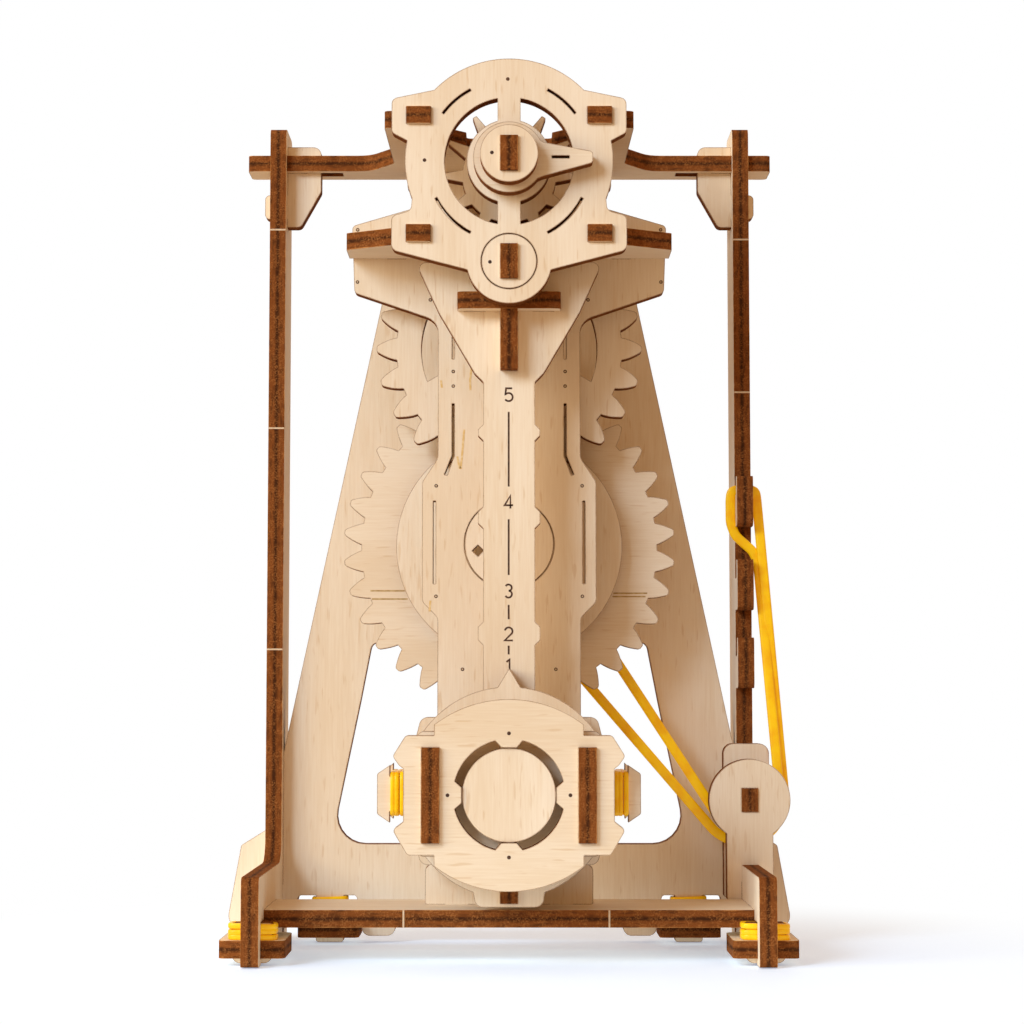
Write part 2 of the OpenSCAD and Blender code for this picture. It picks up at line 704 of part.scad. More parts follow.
// Drive axle
drum_r = 5.9;
drum_rim_r = 9;
drum_y = drive_gear_y + t;
drum_rim_y = roller_y + t + side_gap;
key_hole = [-7.4, -1.6];
knob_lobes = 8;
knob_lobe_r = 4;
module drive_axle() { strip_axle(drive_z, axle_front_y, axle_back_y); }
module drive_front_disc() {
    color(ply) plate_y(column_y) difference() {
        translate([0, drive_z]) circle(drive_disc_r);
        strip_section(drive_z);
        translate([key_hole[0], drive_z + key_hole[1]]) rotate(45) square(2, center = true);
    }
}
module drive_rear_disc() { ply_disc(back_y, drive_disc_r, drive_z); }
module drive_flange() { ply_disc(drive_flange_y, drive_flange_r, drive_z); }
module drive_gear() {
    color(ply) plate_y(drive_gear_y) difference() {
        gear(drive_teeth, drive_m, drive_z, 90);
        strip_section(drive_z);
    }
}
module band_drum() {
    color(ply_dark) {
        plate_y(drum_y, drum_rim_y - drum_y) difference() {
            translate([0, drive_z]) circle(drum_r);
            strip_section(drive_z);
        }
        axle_disc(drum_rim_y, drum_rim_r, drive_z);
    }
}
module winding_knob() {
    color(ply) plate_y(cap_y) difference() {
        union() {
            translate([0, drive_z]) circle(knob_r - knob_lobe_r / 2);
            for (i = [0:knob_lobes - 1]) translate([0, drive_z]) rotate(360 * i / knob_lobes)
                translate([knob_r - knob_lobe_r, 0]) circle(knob_lobe_r);
        }
        strip_section(drive_z);
    }
}

// Pendulum: axle, rod, anchor, and the tee and key that join them
tee_z = pivot_z - disc_r - t;
tee_half_w = 12;
tee_prong_x = [5.5, 10.5];
key_z = 136;
pallet_angle = 37.5;
pallet_gap = 0.3;
pallet_half_w = 0.7;
rod_half_w = rod_w / 2;
rod_step = 1.2;
step_z = [[119.6, 123.4], [99.2, 104.2], [72.2, 77.6]];
module pendulum_axle() { strip_axle(pivot_z, -tab_proud, column_y + t + tab_proud); }
module pendulum_front_disc() { ply_disc(0, disc_r, pivot_z); }
module pendulum_front_collar() { ply_disc(collar_y, disc_r, pivot_z); }
module pendulum_rear_collar() { ply_disc(rear_collar_y, disc_r, pivot_z); }
module pendulum_rear_disc() { ply_disc(column_y, disc_r, pivot_z); }
module tee_slots() { both_sides() rect(tee_prong_x[0], tee_prong_x[1], tee_z, tee_z + t); }
module pendulum_rod() {
    color(ply) plate_y(rod_y) difference() {
        union() {
            outline_sym([
                [shoulder_half_w, pivot_z + 1.2, 1.5], [16.4, 149.6, 2], [8, 135.3], [rod_half_w, 133.3, 1],
                [rod_half_w, rod_bottom, 1]
            ]);
            translate([0, pivot_z]) circle(disc_r + 1);
            for (s = step_z) outline_pair([
                [rod_half_w - 1, s[0]], [rod_half_w, s[0]], [rod_half_w + rod_step, s[0] + rod_step],
                [rod_half_w + rod_step, s[1] - rod_step], [rod_half_w, s[1]], [rod_half_w - 1, s[1]]
            ]);
        }
        strip_section(pivot_z);
        tee_slots();
        rect(-t / 2, t / 2, key_z, tee_z);
    }
}
module anchor() {
    tip_r = escape_r + pallet_gap;
    radial = [sin(pallet_angle), -cos(pallet_angle)];
    along = [cos(pallet_angle), sin(pallet_angle)];
    tip = [0, escape_z] + tip_r * radial;
    outer = tip + pallet_half_w * along;
    inner = tip - pallet_half_w * along;
    base = [0, escape_z] + (tip_r + 2.8) * radial;
    color(ply_dark) plate_y(anchor_y) difference() {
        union() {
            translate([0, pivot_z]) circle(disc_r);
            outline_sym([[tee_half_w, tee_z + t + 1.5, 1.5], [tee_half_w, tee_z - 2.5, 1.5]]);
            outline_pair([
                [3, tee_z + t], [11, tee_z + t + 1.4], [14.4, 164.6, 2], [14.4, 168.8, 1.5], outer, inner,
                [base[0] - 0.4, base[1] - 0.2], [3, pivot_z + 2]
            ]);
        }
        strip_section(pivot_z);
        tee_slots();
    }
}
module rod_tee() {
    color(ply) plate_z(tee_z) {
        outline_sym([[tee_half_w, rod_y], [tee_half_w, collar_y, 1.5]]);
        rect_pair(tee_prong_x[0], tee_prong_x[1], rod_y - 1, anchor_y + t);
    }
}
module rod_key() { color(ply) plate_x(-t / 2) rect(collar_y, rod_y + t, key_z, tee_z); }

// Bob: plates strung on two strips, sliding on the rod between marks 1 and 5
bob_strip_x = 17.4;
bob_strip_h = 21;
bob_cap_r = 27.4;
bob_cap_half_w = 16.6;
bob_cap_top = 21.2;
bob_cap_z = 13.2;
bob_notch_z = 5.8;
bob_neck_x = 23.4;
bob_band_w = 3.4;
bob_hook_half_w = 29.6;
bob_band_half_h = 5;
bob_neck_half_h = bob_band_half_h - band_t;
bob_lobe_z = 12.7;
bob_lobe_half_w = 7.6;
bob_stop_z = [bob_lobe_z + 0.9, rod_bottom - 1.4];
pointer_tip_z = bob_z + 28.2;
badge_tab = [3, 1.7];
badge_y = bob_front_y + 0.6;
module bob_strip_slots() {
    both_sides() rect(
        bob_strip_x - t / 2, bob_strip_x + t / 2, bob_z - bob_strip_h / 2, bob_z + bob_strip_h / 2
    );
}
module bob_stop_slot() { rect(-t / 2, t / 2, bob_stop_z[0], bob_stop_z[1]); }
module bob_cap() {
    intersection() {
        translate([0, bob_cap_top - bob_cap_r]) circle(bob_cap_r);
        rect(-bob_cap_half_w, bob_cap_half_w, 0, bob_cap_top + 1);
    }
}
module bob_front_plate() {
    color(ply) plate_y(bob_front_y) difference() {
        translate([0, bob_z]) {
            bob_cap();
            rotate(180) bob_cap();
            outline_sym([
                [22.9, bob_cap_z, 1], [bob_half_w, 8.6, 1], [bob_neck_x + 1, bob_notch_z + 0.8],
                [bob_neck_x, bob_notch_z], [bob_neck_x, -bob_notch_z], [bob_neck_x + 1, -bob_notch_z - 0.8],
                [bob_half_w, -7.6, 1], [22.5, -bob_cap_z, 1]
            ]);
        }
        translate([0, bob_z]) difference() {
            circle(bob_window_r);
            for (i = [0:3]) rotate(90 * i) polygon([
                [-badge_tab[0], bob_window_r + 1], [badge_tab[0], bob_window_r + 1],
                [badge_tab[0], bob_window_r - 0.4], [badge_tab[1], badge_r + 0.1],
                [-badge_tab[1], badge_r + 0.1], [-badge_tab[0], bob_window_r - 0.4]
            ]);
        }
        bob_strip_slots();
    }
}
module bob_badge() { color(ply) plate_y(badge_y) translate([0, bob_z]) circle(badge_r); }
module bob_clamp_outline(half_w, body_h) {
    translate([0, bob_z]) outline_sym([
        [bob_neck_x - 3, body_h, 2], [bob_neck_x, bob_neck_half_h + 1.4], [bob_neck_x, bob_neck_half_h],
        [bob_neck_x + bob_band_w, bob_neck_half_h], [bob_neck_x + bob_band_w, bob_neck_half_h + 2.5],
        [half_w, bob_neck_half_h + 0.6, 0.8], [half_w, -bob_neck_half_h - 0.6, 0.8],
        [bob_neck_x + bob_band_w, -bob_neck_half_h - 2.5], [bob_neck_x + bob_band_w, -bob_neck_half_h],
        [bob_neck_x, -bob_neck_half_h], [bob_neck_x, -bob_neck_half_h - 1.4], [bob_neck_x - 3, -body_h, 2]
    ]);
}
module bob_hook_plate() {
    color(ply) plate_y(bob_hook_y) difference() {
        bob_clamp_outline(bob_hook_half_w, 14);
        bob_strip_slots();
    }
}
module bob_pointer_plate() {
    color(ply) plate_y(bob_pointer_y) difference() {
        union() {
            translate([0, bob_z]) circle(bob_r);
            outline_sym([[0.01, pointer_tip_z], [3.4, bob_z + bob_r - 1.4]]);
            outline_sym([[bob_lobe_half_w + 1, bob_z - bob_r + 4], [bob_lobe_half_w, bob_lobe_z, 2]]);
        }
        both_sides() rect(bob_neck_x - 0.3, bob_r + 1, bob_z - bob_notch_z, bob_z + bob_notch_z);
        bob_strip_slots();
        bob_stop_slot();
    }
}
module bob_rear_plate() {
    color(ply) plate_y(bob_rear_y) difference() {
        union() {
            bob_clamp_outline(bob_hook_half_w - 0.8, 17);
            outline_sym([[bob_lobe_half_w + 1, bob_z], [bob_lobe_half_w, bob_lobe_z, 2]]);
        }
        bob_strip_slots();
    }
}
module bob_strips() {
    color(ply_dark) for (side = [-1, 1]) plate_x(side * bob_strip_x - t / 2) rect(
        strip_front_y, bob_rear_y + t, bob_z - bob_strip_h / 2, bob_z + bob_strip_h / 2
    );
}
module bob_stop() {
    color(ply_dark) plate_x(-t / 2)
        rect(bob_pointer_y - tab_proud, bob_pointer_y + t, bob_stop_z[0], bob_stop_z[1]);
}
module bob_bands() {
    color(rubber) for (side = [-1, 1]) {
        x0 = side * (bob_neck_x + bob_band_w / 2) - bob_band_w / 2 + 0.05;
        plate_x(x0, bob_band_w - 0.1) difference() {
            rect(
                bob_hook_y - band_t, bob_rear_y + t + band_t,
                bob_z - bob_band_half_h, bob_z + bob_band_half_h
            );
            rect(bob_hook_y, bob_rear_y + t, bob_z - bob_neck_half_h, bob_z + bob_neck_half_h);
        }
    }
}

// Drive band: one closed rubber loop from the drum, twice round the roller, over the top hook
band_clear = 0.25;
band_step = 20;
drum_c = [0, drive_z];
roller_c = [panel_mid, pulley_z];
drum_path_r = drum_r + band_clear + band_w / 2;
roller_path_r = roller_r + band_clear + band_w / 2;
strand_y = [roller_y + 1.1, roller_y + t - 1.1];
drum_mid_y = (drum_y + drum_rim_y) / 2;
hook_band_y = post_y - (hook_reach - hook_nose) / 2;
hook_floor_z = hook_top_z - hook_slot_h;
side_x = t / 2 + band_w / 2 + band_clear;
function dir(a) = [cos(a), sin(a)];
function normal_angle(c1, c2, k) = let (d = c2 - c1) atan2(d[1], d[0]) - acos(k / norm(d));
function arc_path(c, r, y, a0, a1) = [
    for (i = [0:band_step]) let (a = a0 + (a1 - a0) * i / band_step) [c[0] + r * cos(a), y, c[1] + r * sin(a)]
];
low_a = normal_angle(drum_c, roller_c, drum_path_r - roller_path_r);
cross_a = normal_angle(drum_c, roller_c, -drum_path_r - roller_path_r);
band_path = concat(
    arc_path(drum_c, drum_path_r, drum_mid_y, low_a, cross_a - 180),
    arc_path(roller_c, roller_path_r, strand_y[1], cross_a, 2),
    [
        [panel_mid + side_x, hook_band_y, hook_floor_z - 1],
        [panel_mid + side_x - 0.3, hook_band_y, hook_floor_z + 0.8],
        [panel_mid + 1.6, hook_band_y, hook_floor_z + band_w / 2 + band_clear],
        [panel_mid - 1.6, hook_band_y, hook_floor_z + band_w / 2 + band_clear],
        [panel_mid - side_x + 0.3, hook_band_y, hook_floor_z + 0.8],
        [panel_mid - side_x, hook_band_y, hook_floor_z - 1],
        [panel_mid - side_x, hook_band_y, hook_top_z - hook_h + 1],
        [panel_mid - side_x + 1.2, hook_band_y, hook_top_z - hook_h - 2.2],
        [panel_mid + side_x - 1, hook_band_y, hook_top_z - hook_pitch[1] + 2.2],
        [panel_mid + side_x + 0.2, hook_band_y, hook_top_z - hook_pitch[1] - 0.6]
    ],
    arc_path(roller_c, roller_path_r, strand_y[0], 4, low_a)
);
module band_sweep(path, w, d) {
    n = len(path);
    rings = [for (i = [0:n - 1])
        let (
            tangent = unit(path[(i + 1) % n] - path[(i + n - 1) % n]),
            side = unit(cross(tangent, [0, 1, 0])),
            deep = cross(side, tangent)
        )
        [for (s = [[1, 1], [-1, 1], [-1, -1], [1, -1]]) path[i] + side * s[0] * w / 2 + deep * s[1] * d / 2]
    ];
    polyhedron(
        points = [for (ring = rings) each ring],
        faces = [for (i = [0:n - 1]) for (j = [0:3])
            let (k = (j + 1) % 4, next = 4 * ((i + 1) % n), a = 4 * i + j, b = 4 * i + k, c = next + k, e = next + j)
            each [[a, b, c], [a, c, e]]
        ]
    );
}
module drive_band() { color(rubber) translate([0, -depth_mid, 0]) band_sweep(band_path, band_w, band_t); }

side_panel_left();
side_panel_right();
back_panel();
base_plate();
column_plate();
lower_shelf();
upper_shelf();
head_plate();
corner_bracket_left();
corner_bracket_right();
foot_plate_front_left();
foot_plate_front_right();
foot_plate_rear_left();
foot_plate_rear_right();
foot_keys();
foot_bands();
pulley_front_plate();
pulley_rear_plate();
pulley_axle();
pulley_roller();
drive_band();
escape_axle();
escape_front_disc();
escape_rear_disc();
escape_cap();
pointer_hub();
pointer();
escape_wheel();
escape_pinion();
middle_axle();
middle_front_disc();
middle_rear_disc();
middle_cap();
middle_spacer();
middle_gear();
middle_pinion();
drive_axle();
drive_front_disc();
drive_rear_disc();
drive_flange();
drive_gear();
band_drum();
winding_knob();
pendulum_axle();
pendulum_front_disc();
pendulum_front_collar();
pendulum_rear_collar();
pendulum_rear_disc();
pendulum_rod();
anchor();
rod_tee();
rod_key();
bob_front_plate();
bob_badge();
bob_hook_plate();
bob_pointer_plate();
bob_rear_plate();
bob_strips();
bob_stop();
bob_bands();
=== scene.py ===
"""Desk pendulum model: plywood and rubber finishes, wound bands, laser marks and the rod's scale.

The fixed frame gives every plate at its real size. This script dresses the plates, replaces the
plain rubber solids with wound and drawn bands, adds what the laser leaves on the faces, and lights
the model for its portrait.
"""

from __future__ import annotations

import logging
import math
from collections.abc import Iterable
from dataclasses import dataclass
from enum import Enum

import bmesh
import bpy
from bmesh.types import BMesh
from bpy.types import Material, Node, NodeSocket, NodeTree, Object
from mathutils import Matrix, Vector


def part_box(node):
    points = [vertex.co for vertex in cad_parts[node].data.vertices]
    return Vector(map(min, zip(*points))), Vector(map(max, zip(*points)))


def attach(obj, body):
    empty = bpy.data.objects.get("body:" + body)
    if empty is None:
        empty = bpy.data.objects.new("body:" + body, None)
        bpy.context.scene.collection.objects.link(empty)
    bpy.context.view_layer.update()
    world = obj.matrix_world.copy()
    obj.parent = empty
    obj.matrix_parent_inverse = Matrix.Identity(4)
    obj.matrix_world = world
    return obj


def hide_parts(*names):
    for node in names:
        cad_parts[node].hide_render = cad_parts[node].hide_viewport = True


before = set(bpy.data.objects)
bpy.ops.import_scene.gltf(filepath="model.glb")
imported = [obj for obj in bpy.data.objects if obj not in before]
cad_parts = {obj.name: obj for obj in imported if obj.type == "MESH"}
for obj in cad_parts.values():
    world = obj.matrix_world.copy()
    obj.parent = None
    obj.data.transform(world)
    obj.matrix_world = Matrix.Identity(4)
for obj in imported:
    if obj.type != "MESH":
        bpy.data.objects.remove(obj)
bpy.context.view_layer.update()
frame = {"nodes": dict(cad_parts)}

LOG = logging.getLogger("pendulum_model")
MM = 0.001
PLY_THICKNESS = 4.0 * MM
MARK_LIFT = 0.03 * MM
MODEL_MIDDLE = (0.0, 0.0, 0.1)
WHITE = (1.0, 1.0, 1.0)

Triple = tuple[float, float, float]
Pair = tuple[float, float]
Run = Iterable[Pair]


class Axis(Enum):
    """A direction that a plate's faces look along, or that its grain runs along."""

    ACROSS = (1.0, 0.0, 0.0)
    DEEP = (0.0, 1.0, 0.0)
    UP = (0.0, 0.0, 1.0)


FOOT_PLATES = (
    "foot_plate_front_left", "foot_plate_front_right", "foot_plate_rear_left",
    "foot_plate_rear_right",
)
STRIP_AXLES = ("pulley_axle", "escape_axle", "middle_axle", "drive_axle", "pendulum_axle")
FACES_ALONG = {
    Axis.ACROSS: (
        *STRIP_AXLES, "side_panel_left", "side_panel_right", "rod_key", "bob_strips", "bob_stop",
    ),
    Axis.UP: (*FOOT_PLATES, "base_plate", "lower_shelf", "upper_shelf", "rod_tee"),
}
GRAIN_ALONG = {
    Axis.DEEP: (*FOOT_PLATES, *STRIP_AXLES),
    Axis.ACROSS: (
        "base_plate", "upper_shelf", "lower_shelf", "rod_tee", "bob_front_plate", "pointer",
        "bob_hook_plate", "drive_gear",
    ),
}
RUBBER_NODES = ("foot_bands", "drive_band", "bob_bands")


@dataclass(frozen=True)
class Pattern:
    """A noise pattern in the wood.

    The rate is in features per metre, and along is the share of it that is left along the grain.
    As a mask, the pattern rises from 0 at low to its share at high.
    """

    rate: float
    detail: float
    along: float = 1.0
    low: float = 0.0
    high: float = 1.0
    share: float = 1.0


@dataclass(frozen=True)
class PlywoodFinish:
    """Birch plywood: pale faces with fine grain, and edges burnt dark by the laser."""

    light: Triple = (0.88, 0.735, 0.545)
    dark: Triple = (0.78, 0.600, 0.395)
    fleck: Triple = (0.60, 0.36, 0.15)
    stain: Triple = (0.66, 0.36, 0.10)
    rim: Triple = (0.24, 0.105, 0.035)
    char_deep: Triple = (0.052, 0.016, 0.005)
    char_mid: Triple = (0.200, 0.057, 0.012)
    char_pale: Triple = (0.380, 0.140, 0.036)
    char_gold: Triple = (0.520, 0.230, 0.065)
    char_levels: Triple = (0.06, 0.34, 0.93)
    char_waviness: float = 0.25
    face_roughness: float = 0.62
    edge_roughness: float = 0.85
    face_gloss: float = 0.22
    edge_gloss: float = 0.04
    face_levels: Pair = (0.45, 0.60)
    rim_width: float = 0.42 * MM
    rim_samples: int = 6
    rim_bend: Pair = (0.004, 0.07)
    seed_step: Triple = (0.31, 0.17, 0.23)
    grain: Pattern = Pattern(2300.0, 3.0, 0.05, share=0.50)
    clouds: Pattern = Pattern(70.0, 2.0, 0.22, share=0.95)
    shade_levels: Pair = (0.42, 1.02)
    flecks: Pattern = Pattern(1300.0, 1.0, 0.13, 0.63, 0.76, 0.34)
    streaks: Pattern = Pattern(190.0, 1.0, 0.06, 0.72, 0.84, 0.34)
    unevenness: Pattern = Pattern(420.0, 2.0, 1.0, 0.25, 0.75, 0.35)
    blotches: Pattern = Pattern(520.0, 3.0, 1.0, 0.28, 0.60)
    specks: Pattern = Pattern(2700.0, 2.0, 1.0, 0.40, 0.72, 0.62)
    fibres: Pattern = Pattern(300.0, 2.0, 5.0, 0.45, 0.70, 0.60)
    bump_strength: float = 0.12
    bump_distance: float = 0.05 * MM


@dataclass(frozen=True)
class BlotchedFinish:
    """A finish of two colours in blotches, with other shader inputs by name."""

    base: Triple
    pale: Triple
    roughness: float = 0.85
    roughness_span: float = 0.0
    blotches: Pattern = Pattern(1500.0, 2.0, 1.0, 0.35, 0.75)
    inputs: tuple[tuple[str, object], ...] = ()


BLOTCHED = {
    "yellow_rubber": BlotchedFinish(
        (1.0, 0.60, 0.002), (0.90, 0.42, 0.0), roughness=0.38, roughness_span=0.2,
        blotches=Pattern(260.0, 3.0, 1.0, 0.35, 0.75), inputs=(
            ("Coat Weight", 0.06), ("Coat Roughness", 0.2), ("Specular IOR Level", 0.25),
            # The emission is a painted glow: the rubber shines a little orange light of its own,
            # though it is no lamp.
            ("Emission Color", (0.90, 0.42, 0.0)), ("Emission Strength", 0.10),
        ),
    ),
    "laser_mark": BlotchedFinish((0.040, 0.014, 0.006), (0.12, 0.05, 0.02)),
    "scored_line": BlotchedFinish((0.42, 0.25, 0.08), (0.56, 0.38, 0.16)),
    "resin": BlotchedFinish((0.70, 0.44, 0.15), (0.80, 0.58, 0.30), roughness=0.6),
    "bridge_nick": BlotchedFinish((0.62, 0.42, 0.24), (0.72, 0.54, 0.34), roughness=0.7),
}


def four(colour: Triple) -> tuple[float, float, float, float]:
    """Gives a colour its alpha.

    Args:
        colour: Red, green and blue.

    Returns:
        The opaque colour.
    """
    return (*colour, 1.0)


@dataclass
class NodeGraph:
    """Adds and links nodes in a shader or geometry tree."""

    tree: NodeTree

    @classmethod
    def fresh(cls, owner: bpy.types.ID) -> NodeGraph:
        """Empties the node tree of a material or a world.

        Args:
            owner: The material or the world.

        Returns:
            The graph of its empty tree.
        """
        owner.use_nodes = True
        owner.node_tree.nodes.clear()
        return cls(owner.node_tree)

    def add(self, kind: str, inputs: dict[object, object] | None = None,
            **settings: object) -> Node:
        """Adds a node, sets its properties and fills its inputs.

        Args:
            kind: The node's type name.
            inputs: Sockets or plain values by the input's name or number.
            settings: Property values by name.

        Returns:
            The new node.
        """
        node = self.tree.nodes.new(kind)
        for name, value in settings.items():
            setattr(node, name, value)
        for name, value in (inputs or {}).items():
            target = node.inputs[name]
            if isinstance(value, NodeSocket):
                self.tree.links.new(value, target)
            else:
                target.default_value = four(value) if target.type == "RGBA" else value
        return node

    def math(self, operation: str, *values: object, clamp: bool = False) -> NodeSocket:
        """Adds a Math node.

        Args:
            operation: The Math node's operation.
            values: Its inputs, sockets or numbers.
            clamp: Whether the result stays between 0 and 1.

        Returns:
            The result's socket.
        """
        inputs = dict(enumerate(values))
        node = self.add("ShaderNodeMath", inputs, operation=operation, use_clamp=clamp)
        return node.outputs[0]

    def vector(self, operation: str, *values: object, out: str = "Vector") -> NodeSocket:
        """Adds a Vector Math node.

        Args:
            operation: The Vector Math node's operation.
            values: Its inputs in order; a scale goes to the Scale socket.
            out: The output's name.

        Returns:
            The result's socket.
        """
        names = (0, "Scale") if operation == "SCALE" else (0, 1)
        inputs = dict(zip(names, values))
        return self.add("ShaderNodeVectorMath", inputs, operation=operation).outputs[out]

    def spread(self, value: object, low: float, high: float) -> NodeSocket:
        """Maps a value to 0 at low and 1 at high, smoothly.

        Args:
            value: The input socket.
            low: Where the result is 0.
            high: Where the result is 1.

        Returns:
            The result's socket.
        """
        inputs = {"Value": value, "From Min": low, "From Max": high}
        node = self.add("ShaderNodeMapRange", inputs, interpolation_type="SMOOTHSTEP")
        return node.outputs["Result"]

    def blend(self, factor: object, first: object, second: object) -> NodeSocket:
        """Mixes two colours.

        Args:
            factor: 0 gives the first colour, 1 the second.
            first: A colour or its socket.
            second: A colour or its socket.

        Returns:
            The mixed colour's socket.
        """
        inputs = {0: factor, 6: first, 7: second}
        return self.add("ShaderNodeMix", inputs, data_type="RGBA").outputs[2]

    def mix(self, factor: object, first: Node, second: Node) -> NodeSocket:
        """Mixes two shaders.

        Args:
            factor: 0 gives the first shader, 1 the second.
            first: A shader's node.
            second: A shader's node.

        Returns:
            The mixed shader's socket.
        """
        inputs = {0: factor, 1: first.outputs[0], 2: second.outputs[0]}
        return self.add("ShaderNodeMixShader", inputs).outputs[0]

    def noise(self, place: object, pattern: Pattern) -> NodeSocket:
        """Adds a Noise Texture.

        Args:
            place: The vector to read it at.
            pattern: The pattern, for its rate and detail.

        Returns:
            The noise value's socket.
        """
        inputs = {"Vector": place, "Scale": pattern.rate, "Detail": pattern.detail}
        return self.add("ShaderNodeTexNoise", inputs).outputs[0]


class PlywoodGroup:
    """The shader group for laser cut plywood, shared by every plate's material."""

    def __init__(self, finish: PlywoodFinish) -> None:
        """Builds the group once.

        Args:
            finish: The plywood's colours, patterns and widths.
        """
        self.finish = finish
        self.tree = bpy.data.node_groups.new("laser_cut_plywood", "ShaderNodeTree")
        sockets = (
            ("INPUT", "NodeSocketVector", ("Place", "Facing", "Sheet Axis", "Grain Axis")),
            ("INPUT", "NodeSocketFloat", ("Sheet Start", "Tone", "Seed")),
            ("OUTPUT", "NodeSocketColor", ("Color",)),
            ("OUTPUT", "NodeSocketFloat", ("Roughness", "Gloss", "Height")),
        )
        for way, kind, names in sockets:
            for name in names:
                self.tree.interface.new_socket(name=name, in_out=way, socket_type=kind)
        self.graph = NodeGraph(self.tree)
        self.given = self.graph.add("NodeGroupInput").outputs
        shift = self.graph.vector("SCALE", finish.seed_step, self.given["Seed"])
        self.place = self.graph.vector("ADD", self.given["Place"], shift)
        self._wire()

    def _wire(self) -> None:
        """Links the face and the edge to the group's outputs."""
        graph, finish = self.graph, self.finish
        on_face = graph.spread(graph.math("ABSOLUTE", self._along("Facing")), *finish.face_levels)
        fine = self._noise(finish.grain)
        face = graph.blend(self._rim_mask(), self._face_colour(fine), finish.rim)
        result = {"Color": graph.blend(on_face, self._edge_colour(), face), "Height": fine}
        for name, flat, cut in (("Roughness", finish.face_roughness, finish.edge_roughness),
                                ("Gloss", finish.face_gloss, finish.edge_gloss)):
            result[name] = graph.math("MULTIPLY_ADD", on_face, flat - cut, cut)
        graph.add("NodeGroupOutput", result)

    def _along(self, name: str) -> NodeSocket:
        """Measures an input vector along the axis that the plate's faces look along.

        Args:
            name: The input's name.

        Returns:
            The length along that axis.
        """
        return self.graph.vector(
            "DOT_PRODUCT", self.given[name], self.given["Sheet Axis"], out="Value")

    def _noise(self, pattern: Pattern, axis: str = "Grain Axis") -> NodeSocket:
        """Adds a pattern, drawn out along an axis.

        Args:
            pattern: The pattern.
            axis: The input that gives the axis.

        Returns:
            The pattern's value.
        """
        graph, place = self.graph, self.place
        if pattern.along != 1.0:
            along = graph.vector("DOT_PRODUCT", place, self.given[axis], out="Value")
            drop = graph.math("MULTIPLY", along, 1.0 - pattern.along)
            place = graph.vector("SUBTRACT", place, graph.vector("SCALE", self.given[axis], drop))
        return graph.noise(place, pattern)

    def _mask(self, pattern: Pattern, axis: str = "Grain Axis") -> NodeSocket:
        """Adds a pattern as a mask between 0 and its share.

        Args:
            pattern: The pattern.
            axis: The input that gives the axis it is drawn out along.

        Returns:
            The mask.
        """
        level = self.graph.spread(self._noise(pattern, axis), pattern.low, pattern.high)
        return self.graph.math("MULTIPLY", level, pattern.share)

    def _face_colour(self, fine: NodeSocket) -> NodeSocket:
        """Colours the pale face: broad clouds, fine grain, short flecks and rare streaks.

        Args:
            fine: The fine grain's value.

        Returns:
            The face colour.
        """
        graph, finish = self.graph, self.finish
        clouds = graph.math("MULTIPLY", self._noise(finish.clouds), finish.clouds.share)
        mixed = graph.math("MULTIPLY_ADD", fine, finish.grain.share, clouds)
        level = graph.spread(mixed, *finish.shade_levels)
        shade = graph.math("ADD", level, self.given["Tone"], clamp=True)
        colour = graph.blend(shade, finish.light, finish.dark)
        colour = graph.blend(self._mask(finish.flecks), colour, finish.fleck)
        return graph.blend(self._mask(finish.streaks), colour, finish.stain)

    def _rim_mask(self) -> NodeSocket:
        """Finds the scorched line that a cut leaves along the face's border.

        Returns:
            A mask that is 1 on the scorched line.
        """
        graph, finish = self.graph, self.finish
        width = {"Radius": finish.rim_width}
        soft = graph.add("ShaderNodeBevel", width, samples=finish.rim_samples).outputs[0]
        turned = graph.add(
            "ShaderNodeVectorTransform", {0: soft}, vector_type="NORMAL", convert_from="WORLD",
            convert_to="OBJECT")
        level = graph.vector("DOT_PRODUCT", turned.outputs[0], self.given["Facing"], out="Value")
        bent = graph.spread(graph.math("SUBTRACT", 1.0, level), *finish.rim_bend)
        strength = graph.math("ADD", self._mask(finish.unevenness), 1.0 - finish.unevenness.share)
        return graph.math("MULTIPLY", bent, strength, clamp=True)

    def _edge_colour(self) -> NodeSocket:
        """Colours the burnt edge: darkest in its middle, golden at the faces, and blotched.

        Returns:
            The edge colour.
        """
        graph, finish = self.graph, self.finish
        across = graph.math("ABSOLUTE", self._along("Place"))
        depth = graph.math("SUBTRACT", across, self.given["Sheet Start"])
        share = graph.math("DIVIDE", depth, PLY_THICKNESS)
        from_middle = graph.math("ABSOLUTE", graph.math("MULTIPLY_ADD", share, 2.0, -1.0))
        blotch = self._noise(finish.blotches)
        sway = graph.math("SUBTRACT", blotch, 0.5)
        wavy = graph.math("MULTIPLY_ADD", sway, finish.char_waviness, from_middle)
        ramp = graph.add("ShaderNodeValToRGB", {0: wavy})
        stops = ramp.color_ramp.elements
        stops[0].color, stops[1].color = four(finish.char_deep), four(finish.char_gold)
        colours = (finish.char_deep, finish.char_mid, finish.char_mid)
        for level, colour in zip(finish.char_levels, colours):
            stops.new(level).color = four(colour)
        dark = self._mask(finish.fibres, "Sheet Axis")
        scorched = graph.blend(dark, ramp.outputs[0], finish.char_deep)
        open_spots = graph.spread(blotch, finish.blotches.low, finish.blotches.high)
        pale = graph.math("MULTIPLY", self._mask(finish.specks), open_spots)
        return graph.blend(pale, scorched, finish.char_pale)


